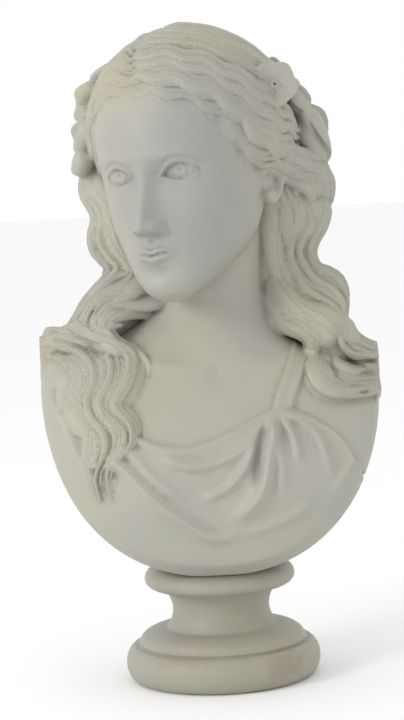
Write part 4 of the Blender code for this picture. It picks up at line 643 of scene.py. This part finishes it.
RIGHT_CROWN = (
    ((-18, 60.5, .4), (-32, 60.5, 2.2), (-50, 58, 2.4), (-68, 50.5, 2.2), (-80, 40.5, 2), (-90, 30, 2),
     (-100, 19, 2), (-108, 9, 2)),
    ((-20, 67, 1.2), (-42, 67, 3.2), (-62, 64, 3.4), (-80, 55, 3), (-92, 44, 2.8), (-101, 32, 2.4),
     (-110, 20, 2.2), (-116, 9, 2)),
    ((-34, 76, 1.4), (-66, 75, 3.4), (-92, 68, 3.2), (-104, 57, 2.8), (-112, 44, 2.4), (-118, 31, 2),
     (-124, 18, 1.8), (-128, 6, 1.6)),
    ((-60, 83, 1.4), (-100, 80, 3.4), (-122, 72, 3), (-128, 58, 2.6), (-132, 44, 2), (-136, 30, 1.6),
     (-138, 16, 1.4), (-140, 4, 1.4)),
)


def strands(clay, lines, count, share, thick, lift, seed, wave, lumps, soft, tip, root, uneven=0):
    """Strands side by side between the guiding lines, each as wide as its share of the room there."""
    made = []
    for i in range(count):
        at = (len(lines) - 1) * i / (count - 1)
        k = min(int(at), len(lines) - 2)
        path = lines[k] + (lines[k + 1] - lines[k]) * (at - k)
        room = np.linalg.norm(lines[k + 1] - lines[k], axis=1) * (len(lines) - 1) / (count - 1)
        last = int(len(path) * (1 - uneven * (0, .34, .14, .24)[i % 4]) + .5)
        path, room = path[:last], room[:last]
        bump = math.cos(THIRD_TURN * (i - 1)) + .25 * math.sin(1.9 * i + seed)
        path = path + outward(path) * (lift + lumps * bump)
        wide = np.clip(room * share * (1 + .2 * math.sin(3.1 * i + seed)), 1.5, 12)
        made.append(lock(clay, path, wide, thick, (wave[0], wave[1], wave[2] + .045 * i), soft, tip, root))
    return made


def sheet(clay, guides, count, thick, body, seed=0.0, wave=(0, 20, 0), lumps=.5, tip=.35, root=.6, uneven=0,
    swing=1.0):
    """A sheet of hair: a full body, with fine strands along its outside."""
    lines = np.array([through(guide, 26) for guide in guides])
    ends = np.pad(lines, ((0, 0), (4, 4), (0, 0)), "reflect", reflect_type="odd")
    calm = sum(ends[:, i:i + 26] for i in range(9)) / 9
    lines = calm + swing * (lines - calm)
    few = max(len(guides), int(round(count / 1.8)))
    under = body - .2 * thick
    strands(clay, lines, few, .85, body, -under, seed, wave, 0, 1.5, tip, max(root, .6))
    clay.threads += strands(clay, lines, count, .72, thick, 0, seed, wave, lumps, .3, tip, root, uneven)


def over_head(guides, thick):
    """Guiding lines on the head, brought down so that the strands' tops lie at the given heights."""
    made = []
    for guide in guides:
        guide = np.array(guide, float)
        made.append(on_head(guide[:, 0], guide[:, 1], guide[:, 2] - thick))
    return made


def curtain():
    """The hair from the crown down the back of the head, hanging from ear to ear on to the shoulders."""
    made = []
    for k in range(9):
        turn = math.radians(4 + 21.5 * k)
        cos, sin = math.cos(turn), math.sin(turn)
        sway = 2.4 * math.cos(.75 * k)
        rise = np.array([76, 62, 47, 32, 17, 3, -10])
        over = on_head(180 + (116 + 16.5 * k - 180) * np.array([.9, 1, 1, 1, 1, 1, 1])
            + sway * .7 * np.array([0, 0, 1, -1, 1, -1, 1]), rise,
                       np.array([2, 2.4, 2, 1.6, 1.2, 1, 1]) - 2.8)
        places = ((190, 56, 15, 36, -sway), (174, 54, 14, 36, sway), (158, 56, 13, 35, -sway),
            (142, 61, 9, 34, sway), (127, 66, 5, 34, -sway), (113 - 7 * sin, 72, 1, 34, sway))
        made.append(list(map(tuple, over))
            + [(3 + wide * cos - side * sin, at + deep * sin + side * cos * .6, z)
                                              for z, wide, at, deep, side in places])
    return made


def resting(guides, lift):
    """Guiding lines brought on to the chest where they reach it."""
    made = []
    for guide in guides:
        guide = np.array(guide, float)
        rest = chest_front(guide[:, 0], guide[:, 2]) - lift
        guide[:, 1] += ((rest - guide[:, 1]) * ramp(guide[:, 2], 124, 108)
                        * ramp(np.abs(guide[:, 0]), 90, 82))
        made.append(guide)
    return made


def dress_hair(clay):
    """All the hair: the hidden masses first, then the sheets from the forehead round to the shoulders."""
    for wide, thick, path in MASSES:
        lock(clay, path, wide, thick, tip=.6, root=.8)
    crimp = (1.35, 20, .2)
    for guides, side in ((LEFT_FRONT, 0), (RIGHT_FRONT, 1)):
        sheet(clay, over_head(guides, 3.4), 9, 3.4, 4, 1.3 + side, crimp, .6, .7, .5)
    for guides, side in ((LEFT_CROWN, 0), (RIGHT_CROWN, 1)):
        sheet(clay, over_head(guides, 3.0), 8, 3.0, 4, .4 + side, (.6, 24, 0), .5, .7, .6)
    sheet(clay, curtain(), 34, 2.8, 7, .2, (1.2, 25, .5), .7, .6, .6)
    sheet(clay, LEFT_NECK, 5, 2.4, 5, .8)
    sheet(clay, LEFT_FALL, 10, 3.0, 6, .3, lumps=1.2, tip=.9, swing=1.7)
    sheet(clay, resting(LEFT_CURL, 2.6), 5, 3.0, 4, 1.1, lumps=.8, tip=.9, swing=1.1)
    sheet(clay, LEFT_ROLL, 6, 2.8, 4, 2.0, lumps=.7, tip=.6, root=.4)
    sheet(clay, RIGHT_FALL, 7, 3.0, 6, .5, lumps=1.2, tip=.9, swing=1.6)
    sheet(clay, RIGHT_CHEEK, 6, 2.8, 5, 1.6, lumps=1.0, swing=1.3)
    sheet(clay, resting(RIGHT_SHOULDER, 2.6), 12, 3.2, 3.4, .7, lumps=.5, tip=.4, root=.9, uneven=.6,
        swing=1.4)
    sheet(clay, resting(RIGHT_NECK, 3.0), 4, 2.4, 3.5, 2.4, tip=.6)
    for wide, thick, path in STRAYS:
        lock(clay, path, wide, thick, soft=.6, tip=.3)


def flower(clay, at, face, radius, turn):
    """A funnel-shaped bindweed flower, its mouth looking along face."""
    face = np.asarray(face, float) / np.linalg.norm(face)
    u = np.cross([0, 0, 1], face)
    u /= np.linalg.norm(u)
    v = np.cross(face, u)
    at = np.asarray(at, float)
    reach = radius * 1.25

    def field(x, y, z):
        dx, dy, dz = x - at[0], y - at[1], z - at[2]
        a = dx * u[0] + dy * u[1] + dz * u[2]
        b = dx * v[0] + dy * v[1] + dz * v[2]
        c = dx * face[0] + dy * face[1] + dz * face[2]
        r = np.hypot(a, b)
        angle = np.arctan2(b, a) + turn
        rim = radius * (1 + .05 * np.cos(5 * angle))
        share = r / rim
        top = radius * (.34 * np.minimum(share, 1.2) ** .7 - .30 + .05 * np.cos(5 * angle) * share ** 2)
        top = top - .6 * np.exp(-((share - .55) / .3) ** 2) * np.abs(np.cos(2.5 * angle)) ** 6
        pistil = np.hypot(r - .13 * radius, c + .16 * radius) - .07 * radius
        cup = np.maximum(common((c - top) * .9, (r - rim - .45 * np.minimum(c + 1.5, 0)) * .9, 1.0),
            -c - radius * .9)
        return np.minimum(cup, pistil)
    clay.add(at - reach, at + reach, field, .8)


def leaf(clay, at, along_to, out, length, wide, thick, crease):
    """A folded leaf or a bud: a pointed oval with a groove down its middle."""
    way = np.asarray(along_to, float) - at
    way /= np.linalg.norm(way)
    out = np.asarray(out, float) - way * np.dot(out, way)
    out /= np.linalg.norm(out)
    side = np.cross(way, out)
    at = np.asarray(at, float)
    middle = at + way * length / 2

    def field(x, y, z):
        dx, dy, dz = x - middle[0], y - middle[1], z - middle[2]
        a = (dx * way[0] + dy * way[1] + dz * way[2]) / (length / 2)
        b = dx * side[0] + dy * side[1] + dz * side[2]
        c = dx * out[0] + dy * out[1] + dz * out[2]
        w = wide * np.sqrt(np.clip(1 - a * a * (.8 + .2 * np.abs(a)), .01, 1)) * (1 - .25 * a)
        c = c + crease * np.exp(-(b / (.3 * wide)) ** 2) - .12 * b * b / wide * np.sign(crease)
        k = np.sqrt((b / w) ** 2 + (c / thick) ** 2 + (a ** 4) * .8)
        return (k - 1) * min(thick, wide) * .8
    clay.add(middle - length, middle + length, field, .8)


def bud(clay, root, tip, radius, turn):
    """A half-open flower: an egg of petals wrapped round each other."""
    root, tip = np.array(root, float), np.array(tip, float)
    length = np.linalg.norm(tip - root)
    way = (tip - root) / length
    u = np.cross(way, [0, 1, 0])
    u /= np.linalg.norm(u)
    v = np.cross(way, u)
    middle = (root + tip) / 2

    def field(x, y, z):
        dx, dy, dz = x - middle[0], y - middle[1], z - middle[2]
        a = (dx * way[0] + dy * way[1] + dz * way[2]) / (length / 2)
        b = dx * u[0] + dy * u[1] + dz * u[2]
        c = dx * v[0] + dy * v[1] + dz * v[2]
        angle = 4 * (np.arctan2(c, b) + turn + .7 * a + .35 * a * a)
        round_ = radius * np.sqrt(np.clip(1 - np.abs(a) ** 2.6, 0, 1)) * (1 - .22 * a)
        fold = np.mod(angle, 2 * np.pi) / (2 * np.pi)
        wall = round_ * (.68 + .4 * fold) + .5
        return np.maximum(np.hypot(b, c) - wall, (np.abs(a) - 1) * length / 2) * .8
    clay.add(middle - length * .7 - 3, middle + length * .7 + 3, field, .8)


# Garland: flowers (place, facing, radius), leaves (root, tip, width, thickness, fold)
# and buds (root, tip, radius)
FLOWERS = (
    ((41, -31, 253.5), (.22, -.93, .22), 11.8), ((-60, 4, 246), (-.8, -.55, .2), 9.0),
    ((-61, 2, 231), (-.75, -.65, -.05), 9.5),
    ((64, 14, 232), (.8, -.5, .2), 10.0), ((46, 20, 262), (.6, .3, .7), 9.0),
    ((-48, 24, 258), (-.6, .4, .6), 9.0), ((-3, 50, 262), (0, .8, .6), 10.0),
)
LEAVES = (
    ((22, -16, 269), (41, -2, 262), 7, 4, .8), ((50, -4, 256), (53, 4, 240), 6, 5, 1.2),
    ((-40, 10, 268), (-54, 16, 260), 6, 4, 1.0),
    ((54, -6, 244), (60, 0, 226), 5, 3.5, 1.0), ((-58, -4, 224), (-64, 4, 212), 7, 6, 1.2),
    ((-50, 0, 258), (-62, 4, 252), 6, 5, 1.0), ((-55, 10, 240), (-60, 24, 236), 7, 5, 1.0),
    ((56, 20, 246), (58, 34, 240), 7, 5, 1.0), ((30, 34, 268), (12, 46, 266), 7, 4, 1.0),
    ((-30, 36, 266), (-14, 46, 264), 7, 4, 1.0),
)


BUDS = (
    ((56, 0, 241), (65, 10, 209), 9.5, .4), ((49, -10, 252), (58, 0, 236), 6, 1.2),
    ((-52, -6, 238), (-64, 0, 222), 6.5, 2.0),
)


def garland(clay):
    for root, tip, radius, turn in BUDS:
        bud(clay, root, tip, radius, turn)
    for i, (at, face, radius) in enumerate(FLOWERS):
        flower(clay, at, face, radius, .3 + i)
    for root, tip, wide, thick, fold in LEAVES:
        root, tip = np.array(root, float), np.array(tip, float)
        leaf(clay, root, tip, outward((root + tip)[None] / 2)[0], 1.15 * np.linalg.norm(tip - root), wide,
            thick, fold)


def ear(clay, side):
    rim = [from_head((side * (42.5 + b), -1 + a, -1 + c)) for a, b, c in
           ((7, 0, 4), (6, 1.5, 10), (0, 2.5, 13), (-7, 3, 9), (-8, 2.5, 2), (-5, 1.5, -6), (1, .5, -11),
            (5, 0, -8))]
    lock(clay, rim, 1.7, 2.4, tip=.9, root=.8)
    lobe = from_head((side * 42.0, 1.5, -9.5))
    clay.add(lobe - 9, lobe + 9,
             lambda x, y, z: np.sqrt((x - lobe[0]) ** 2 + (y - lobe[1]) ** 2 + ((z - lobe[2]) / 1.25) ** 2)
             - 3.4, 2.5)
    shell = from_head((side * 41.0, -2, 0))
    clay.add(shell - 14, shell + 14,
             lambda x, y, z: ellipsoid(*to_head(x, y, z), (side * 41, -2, 0), (2.6, 8, 11)), 1.5)


def build_bust(cell):
    relief = dress_relief()
    low, high = (-96, -92, -4), (96, 80, 294)
    clay = Clay(low, high, cell)
    clay.add((-99, -90, -5), (99, 70, 175),
             chest_field(cell, lambda x, z: sampled(relief, DRESS_LOW, DRESS_STEP, x, z)), .01)
    clay.add((-50, -45, 70), (50, 60, 215), neck_field(cell), 16)
    clay.carve((-99, -90, -5), (99, 78, 160), scoops, 5)
    cut, (x, y, z) = clay.window((-99, -90, -5), (99, 78, 165))
    clay.depth[cut] = bevelled(clay.depth[cut], cut_field(cell)(x, y, z), z)
    head = Clay(low, high, cell)
    head.add((-80, -90, 112), (75, 70, 290), face_field(cell), .01)
    head.add((-75, -80, 112), (75, 78, 294), skull_field, 8)
    clay.depth = union(clay.depth, head.depth, 5)
    clay.add((-75, -80, 120), (75, 78, 294), hair_cap, 2)
    clay.add((-75, -10, 98), (75, 70, 240), lambda x, y, z: ellipsoid(x, y, z, MANE_AT, MANE), 6)
    ear(clay, 1)
    ear(clay, -1)
    dress_hair(clay)
    garland(clay)
    cut, (x, y, z) = clay.window((-99, -90, -5), (99, 78, 294))
    clay.depth[cut] = np.maximum(clay.depth[cut], np.maximum(np.abs(x - CUT_AT[0]) - CUT_HALF + 0 * y, -z))
    return clay


def largest_piece(points, quads):
    """The outer skin alone, without loose crumbs or hollows closed up inside."""
    label = np.arange(len(points))
    while True:
        low = label[quads].min(axis=1)
        new = label.copy()
        for corner in range(4):
            np.minimum.at(new, quads[:, corner], low)
        new = new[new]
        if (new == label).all():
            break
        label = new
    keep = np.bincount(label[quads[:, 0]]).argmax()
    quads = quads[label[quads[:, 0]] == keep]
    used, quads = np.unique(quads, return_inverse=True)
    return points[used], quads.reshape(-1, 4)


def skin(clay):
    """The modelled surface as points and four-sided faces."""
    band = 3 * clay.cell
    grid = openvdb.FloatGrid(background=band)
    grid.copyFromArray(np.clip(clay.depth, -band, band))
    points, _, quads = grid.convertToPolygons(isovalue=0.0, adaptivity=0.0)
    return largest_piece(points * clay.cell + clay.low, quads)


def nearness(clay, points):
    """How shut in each place is: 0 on open swellings, 1 deep in a crease."""
    found = np.zeros(len(points), np.float32)
    for reach in (2.5, 6.0):
        i = (points - clay.low) / clay.cell
        shut = np.zeros(len(points), np.float32)
        for way in np.array([(1, 1, 1), (1, 1, -1), (1, -1, 1), (1, -1, -1), (-1, 1, 1), (-1, 1, -1),
            (-1, -1, 1), (-1, -1, -1)]):
            at = np.clip(np.round(i + way * reach / clay.cell / 1.73), 0,
                np.array(clay.depth.shape) - 1).astype(int)
            shut += np.clip(clay.depth[tuple(at.T)], -reach, reach) / reach
        found += np.clip(.5 - shut / 8, 0, 1)
    return np.clip(found / 2, 0, 1)


def combing(clay, points):
    """How far each place lies from the middle line of its strand, in mm, and whether it is hair at all."""
    line = np.concatenate([line for line, side in clay.threads])
    side = np.concatenate([side for line, side in clay.threads])
    tree = KDTree(len(line))
    for i, place in enumerate(line):
        tree.insert(place, i)
    tree.balance()
    near = np.array([tree.find(place)[1:] for place in points])
    nearest, away = near[:, 0].astype(int), near[:, 1]
    across = np.abs(((points - line[nearest]) * side[nearest]).sum(axis=1))
    return across, ramp(away, 4.6, 3.6)


def give(piece, name, values):
    layer = piece.data.attributes.new(name, "FLOAT", "POINT")
    layer.data.foreach_set("value", np.asarray(values, np.float32))


def arc(centre, radii, start, end, count):
    angles = np.radians(np.linspace(start, end, count))
    return [(centre[0] + radii[0] * math.cos(a), centre[1] + radii[1] * math.sin(a)) for a in angles]


def socle_profile():
    """The turned outline of the socle, from the middle of its underside to the middle of its top."""
    foot = arc((BASE_RADIUS - 0.0065, BASE_HEIGHT / 2), (0.0065, BASE_HEIGHT / 2), -90, 74, 24)
    lip = [
        (LIP_RADIUS + 0.0006, BASE_HEIGHT - 0.0006), (LIP_RADIUS - 0.0001, BASE_HEIGHT - 0.0004),
        (LIP_RADIUS - 0.0003, BASE_HEIGHT), (LIP_RADIUS + 0.0002, BASE_HEIGHT + 0.0006),
        (LIP_RADIUS + 0.0001, BASE_HEIGHT + 0.0013), (LIP_RADIUS - 0.0005, BASE_HEIGHT + 0.0018),
    ]
    slope = arc((SCOTIA_RADIUS, BASE_HEIGHT + 0.0018),
        (LIP_RADIUS - 0.0008 - SCOTIA_RADIUS, SCOTIA_LOW - BASE_HEIGHT - 0.0018), 8, 90, 14)
    middle, half = (SCOTIA_LOW + SCOTIA_HIGH) / 2, (SCOTIA_HIGH - SCOTIA_LOW) / 2
    scotia = [(WAIST_RADIUS + (SCOTIA_RADIUS - WAIST_RADIUS) * t * t, middle + half * t)
              for t in np.linspace(-0.93, 1, 20)]
    rim = [(SCOTIA_RADIUS + 0.0008, SCOTIA_HIGH + 0.0004), (SCOTIA_RADIUS + 0.004, SCOTIA_HIGH + 0.0011),
           (RIM_RADIUS - 0.0035, RIM_HEIGHT - 0.0044), (RIM_RADIUS - 0.0018, RIM_HEIGHT - 0.0034),
           (RIM_RADIUS - 0.0006, RIM_HEIGHT - 0.0019), (RIM_RADIUS - 0.0001, RIM_HEIGHT - 0.0007)]
    crown = arc((RIM_RADIUS - 0.0068, RIM_HEIGHT), (0.0068, SOCLE_HEIGHT - RIM_HEIGHT), 4, 90, 14)
    return [(0, 0)] + foot + lip + slope + scotia + rim + crown + [(0, SOCLE_HEIGHT)]


def node(name, points, faces):
    mesh = bpy.data.meshes.new(name)
    mesh.from_pydata(points, [], faces)
    mesh.shade_smooth()
    piece = bpy.data.objects.new(name, mesh)
    bpy.context.collection.objects.link(piece)
    return piece


def build_socle():
    """The turned socle, very slightly out of round."""
    profile = socle_profile()
    inner = profile[1:-1]
    ring = np.linspace(0, math.tau, TURN_STEPS, endpoint=False)
    radius = np.array([p[0] for p in inner])[:, None]
    height = np.array([p[1] for p in inner])[:, None]
    wobble = 0.00012 * np.sin(2 * ring + .6)[None] + 0.00006 * np.sin(3 * ring + height * 90)
    x, y = (radius + wobble) * np.cos(ring), (radius + wobble) * np.sin(ring)
    z = height + 0 * ring
    points = [(0, 0, 0)] + list(zip(x.ravel(), y.ravel(), z.ravel())) + [(0, 0, SOCLE_HEIGHT)]
    rows, last = len(inner), len(points) - 1
    faces = []
    for j in range(TURN_STEPS):
        k = (j + 1) % TURN_STEPS
        faces.append((0, 1 + k, 1 + j))
        faces.append((last, 1 + (rows - 1) * TURN_STEPS + j, 1 + (rows - 1) * TURN_STEPS + k))
        for i in range(rows - 1):
            a, b = 1 + i * TURN_STEPS, 1 + (i + 1) * TURN_STEPS
            faces.append((a + j, a + k, b + k, b + j))
    return node("socle_fine", points, faces)


def build_cast():
    """The bust as one cast piece. Its face keeps every point, and the rest is thinned."""
    clay = build_bust(CELL)
    points, quads = skin(clay)
    shut = nearness(clay, points)
    across, hair = combing(clay, points)
    a, front, up = to_head(*points.T)
    face = (np.abs(a) < 30) & (front > 30) & (up > -42) & (up < 24) & (hair < .5)
    points = (points - [0, 0, points[:, 2].min()])
    points = points * (BUST_HEIGHT / points[:, 2].max()) + [0, 0, SOCLE_HEIGHT + SEAT_GAP]
    bust = node("bust_fine", points, quads)
    give(bust, "shut", shut)
    give(bust, "across", across)
    give(bust, "hair", hair)
    if 2 * len(quads) > MOST_TRIANGLES:
        thinned = bust.vertex_groups.new(name="thinned")
        thinned.add(np.flatnonzero(~face).tolist(), 1.0, "REPLACE")
        thin = bust.modifiers.new("thin", "DECIMATE")
        thin.vertex_group = "thinned"
        thin.ratio = MOST_TRIANGLES / (2 * len(quads))
        bpy.context.view_layer.objects.active = bust
        bpy.ops.object.modifier_apply(modifier="thin")
    return bust


def parian(name, colour, shade, warm, painted_shade_and_grime, stains_and_painted_shade):
    """Unglazed porcelain: satin, faintly see-through, clouded, stained and pitted; its hollows and hair
    grooves darkened by painted shade with some grime, and cool clouds of painted shade laid on where given.
    """
    made = bpy.data.materials.new(name)
    made.use_nodes = True
    nodes, link = made.node_tree.nodes, made.node_tree.links.new
    shader = nodes["Principled BSDF"]
    for key, value in (("Roughness", 0.5), ("IOR", 1.5), ("Specular IOR Level", 0.4),
        ("Subsurface Weight", 0.12), ("Subsurface Radius", (1.0, 0.85, 0.6)), ("Subsurface Scale", 0.0015)):
        shader.inputs[key].default_value = value
    place = nodes.new("ShaderNodeTexCoord").outputs["Object"]

    def attribute(key):
        found = nodes.new("ShaderNodeAttribute")
        found.attribute_name = key
        return found.outputs["Fac"]

    def sum_of(kind, first, second, third=None):
        part = nodes.new("ShaderNodeMath")
        part.operation = kind
        for i, value in enumerate((first, second, third)):
            if isinstance(value, (int, float)):
                part.inputs[i].default_value = value
            elif value is not None:
                link(value, part.inputs[i])
        return part.outputs[0]

    def noise(scale, detail, rough=.5, stretch=None):
        cloud = nodes.new("ShaderNodeTexNoise")
        for key, value in (("Scale", scale), ("Detail", detail), ("Roughness", rough)):
            cloud.inputs[key].default_value = value
        where = place
        if stretch:
            mapped = nodes.new("ShaderNodeMapping")
            mapped.inputs["Scale"].default_value = stretch
            link(place, mapped.inputs["Vector"])
            where = mapped.outputs[0]
        link(where, cloud.inputs["Vector"])
        return cloud.outputs["Fac"]

    def fade(value, low, high, start=0.0, end=1.0):
        span = nodes.new("ShaderNodeMapRange")
        span.interpolation_type = "SMOOTHSTEP"
        for key, number in (("From Min", low), ("From Max", high), ("To Min", start), ("To Max", end)):
            span.inputs[key].default_value = number
        link(value, span.inputs["Value"])
        return span.outputs["Result"]

    def mixed(share, first, second):
        mix = nodes.new("ShaderNodeMix")
        mix.data_type = "RGBA"
        for key, colour_in in ((6, first), (7, second)):
            if isinstance(colour_in, tuple):
                mix.inputs[key].default_value = (*colour_in, 1)
            else:
                link(colour_in, mix.inputs[key])
        link(share, mix.inputs[0])
        return mix.outputs[2]

    def around(centre, size):
        """How far a place lies from a centre, as a share of the size given each way."""
        shift = nodes.new("ShaderNodeVectorMath")
        shift.operation = "SUBTRACT"
        shift.inputs[1].default_value = centre
        link(place, shift.inputs[0])
        share = nodes.new("ShaderNodeVectorMath")
        share.operation = "DIVIDE"
        share.inputs[1].default_value = size
        link(shift.outputs[0], share.inputs[0])
        length = nodes.new("ShaderNodeVectorMath")
        length.operation = "LENGTH"
        link(share.outputs[0], length.inputs[0])
        return length.outputs["Value"]

    tone = mixed(fade(noise(13, 4), .38, .66, 0, .7), colour, warm)
    tone = mixed(fade(noise(60, 5, .6), .45, .75, 0, .3), tone, shade)
    tone = mixed(fade(noise(45, 3, .5, (1, 1, .25)), .56, .74, 0, .3), tone, warm)
    hair, shut = attribute("hair"), attribute("shut")
    # Painted shade with some grime: darker where a place is shut in, deep in creases, and more so on the
    # hair
    tone = mixed(fade(shut, .52, .80, 0, .6), tone, painted_shade_and_grime)
    tone = mixed(sum_of("MULTIPLY", fade(shut, .50, .66, 0, .5), hair), tone, painted_shade_and_grime)
    # The hair's fine grooves: a ripple across each strand, bumped down and darkened on the hair as painted
    # shade
    comb = sum_of("SINE", sum_of("MULTIPLY_ADD", attribute("across"), math.tau / 1.6,
        sum_of("MULTIPLY", noise(60, 2), 5.0)), 0)
    tone = mixed(sum_of("MULTIPLY", fade(comb, -.2, -1, 0, .2), hair), tone, painted_shade_and_grime)
    ragged = sum_of("MULTIPLY_ADD", noise(260, 4, .65), 1.6, -.8)
    gentle = sum_of("MULTIPLY_ADD", noise(28, 3), .8, -.4)
    # Real stains, and the cool grey clouds of painted shade, each laid on with a ragged or gentle edge
    for centre, size, colour_in, strength in stains_and_painted_shade:
        tone = mixed(fade(sum_of("ADD", around(centre, size), ragged if max(size) < .025 else gentle), .4,
            1.1, strength, 0), tone, colour_in)
    cells = nodes.new("ShaderNodeTexVoronoi")
    cells.inputs["Scale"].default_value = 95
    link(place, cells.inputs["Vector"])
    hole = sum_of("MULTIPLY", fade(cells.outputs["Distance"], .03, .065, 1, 0),
        fade(noise(23, 2), .61, .66))
    tone = mixed(sum_of("MULTIPLY", hole, .9), tone, (.075, .06, .045))
    link(tone, shader.inputs["Base Color"])
    link(fade(noise(90, 4, .6), .35, .7, .44, .58), shader.inputs["Roughness"])
    relief = sum_of("MULTIPLY_ADD", noise(1400, 3), .05, sum_of("MULTIPLY", hole, -.5))
    relief = sum_of("ADD", relief, sum_of("MULTIPLY", sum_of("MULTIPLY", comb, hair), .11))
    relief = sum_of("MULTIPLY_ADD", noise(110, 3), .1, relief)
    grain = nodes.new("ShaderNodeBump")
    grain.inputs["Strength"].default_value = 1.0
    grain.inputs["Distance"].default_value = 0.001
    link(relief, grain.inputs["Height"])
    link(grain.outputs["Normal"], shader.inputs["Normal"])
    return made


def lamp(name, at, aim, size, power):
    light = bpy.data.lights.new(name, "AREA")
    light.shape, light.size, light.energy = "SQUARE", size, power
    stand = bpy.data.objects.new(name, light)
    stand.location = at
    stand.rotation_euler = (Vector(aim) - Vector(at)).to_track_quat("-Z", "Y").to_euler()
    bpy.context.collection.objects.link(stand)


def studio():
    corners = [(x * FLOOR_HALF, y * FLOOR_HALF, 0) for x, y in ((-1, -1), (1, -1), (1, 1), (-1, 1))]
    floor = node("floor", corners, [(0, 1, 2, 3)])
    paint = bpy.data.materials.new("floor_paint")
    paint.use_nodes = True
    finish = paint.node_tree.nodes["Principled BSDF"].inputs
    finish["Base Color"].default_value = (FLOOR_TONE, FLOOR_TONE, FLOOR_TONE, 1)
    finish["Roughness"].default_value = FLOOR_ROUGHNESS
    floor.data.materials.append(paint)
    world = bpy.data.worlds.new("studio")
    world.use_nodes = True
    world.node_tree.nodes["Background"].inputs["Color"].default_value = (1, 1, 1, 1)
    world.node_tree.nodes["Background"].inputs["Strength"].default_value = SKY
    bpy.context.scene.world = world
    lamp("key", KEY_AT, KEY_AIM, KEY_SIZE, KEY_POWER)
    lamp("fill", FILL_AT, FILL_AIM, FILL_SIZE, FILL_POWER)
    bpy.context.scene.view_settings.view_transform = "Standard"


def photo_camera():
    """The camera stands where the photograph's did, a little above and 1.25 m in front."""
    pitch, pan, roll = CAMERA_PITCH, CAMERA_PAN, CAMERA_ROLL
    ahead = Vector((math.sin(pan) * math.cos(pitch), math.cos(pan) * math.cos(pitch), -math.sin(pitch)))
    across = ahead.cross(Vector((0, 0, 1))).normalized()
    up = across.cross(ahead)
    across, up = math.cos(roll) * across + math.sin(roll) * up, math.cos(roll) * up - math.sin(roll) * across
    lens = bpy.data.cameras.new("camera")
    lens.lens, lens.sensor_width, lens.clip_end = CAMERA_LENS, CAMERA_SENSOR, CAMERA_REACH
    camera = bpy.data.objects.new("camera", lens)
    camera.matrix_world = Matrix.Translation(CAMERA_AT) @ Matrix((across, up, -ahead)).transposed().to_4x4()
    bpy.context.collection.objects.link(camera)
    bpy.context.scene.camera = camera


# Stains and painted shade (place, half size each way, colour, strength): the marks on her left shoulder
# roughly where the photograph shows them, a cool cloud of painted shade over the face and neck, and the rest
# guessed
BUST_STAINS_AND_PAINTED_SHADE = (
    # Painted shade: a cool grey cloud over the face, and one over the neck
    ((-.008, -.055, .262), (.052, .05, .062), (.285, .285, .28), .6),
    ((.02, -.01, .19), (.028, .04, .03), (.30, .295, .29), .45),
    ((.0789, -.0281, .1509), (.0042, .006, .0011), (.17, .12, .075), .8),
    ((.0745, -.027, .1545), (.0035, .006, .0008), (.16, .12, .08), .6),
    ((.0856, -.0193, .1469), (.0028, .005, .0028), (.20, .16, .11), .8),
    ((.0735, -.0245, .1555), (.008, .01, .006), (.36, .32, .235), .35),
    ((-.045, -.02, .315), (.03, .05, .016), (.40, .375, .255), .5),
    ((.02, -.02, .335), (.035, .05, .012), (.42, .39, .275), .4),
    ((-.084, -.01, .175), (.012, .02, .02), (.38, .355, .25), .45),
    ((.03, -.045, .12), (.03, .02, .022), (.37, .36, .34), .4),
)
SOCLE_STAINS = (
    ((.012, -.04, .036), (.016, .02, .007), (.30, .255, .175), .55),
    ((-.02, -.04, .017), (.02, .02, .006), (.28, .245, .18), .45),
    ((.03, -.035, .012), (.014, .02, .008), (.26, .225, .16), .5),
    ((-.03, -.03, .05), (.014, .02, .006), (.29, .255, .19), .45),
    ((0, .045, .02), (.03, .02, .01), (.28, .245, .18), .4),
)
# Tones of each piece: its colour, its shade, its warm clouds and the dark of its creases and hair grooves,
# which is painted shade with some grime
BUST_TONES = (.38, .372, .322), (.33, .325, .305), (.395, .377, .293), (.185, .172, .133)
SOCLE_TONES = (.335, .326, .276), (.285, .276, .243), (.335, .312, .241), (.17, .158, .122)

bust = build_cast()
bust.data.materials.append(parian("bust_parian", *BUST_TONES, BUST_STAINS_AND_PAINTED_SHADE))
socle = build_socle()
give(socle, "shut", np.zeros(len(socle.data.vertices)))
socle.data.materials.append(parian("socle_parian", *SOCLE_TONES, SOCLE_STAINS))
for piece, name in ((bust, "bust"), (socle, "socle")):
    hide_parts(name)
    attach(piece, "root")
studio()
photo_camera()
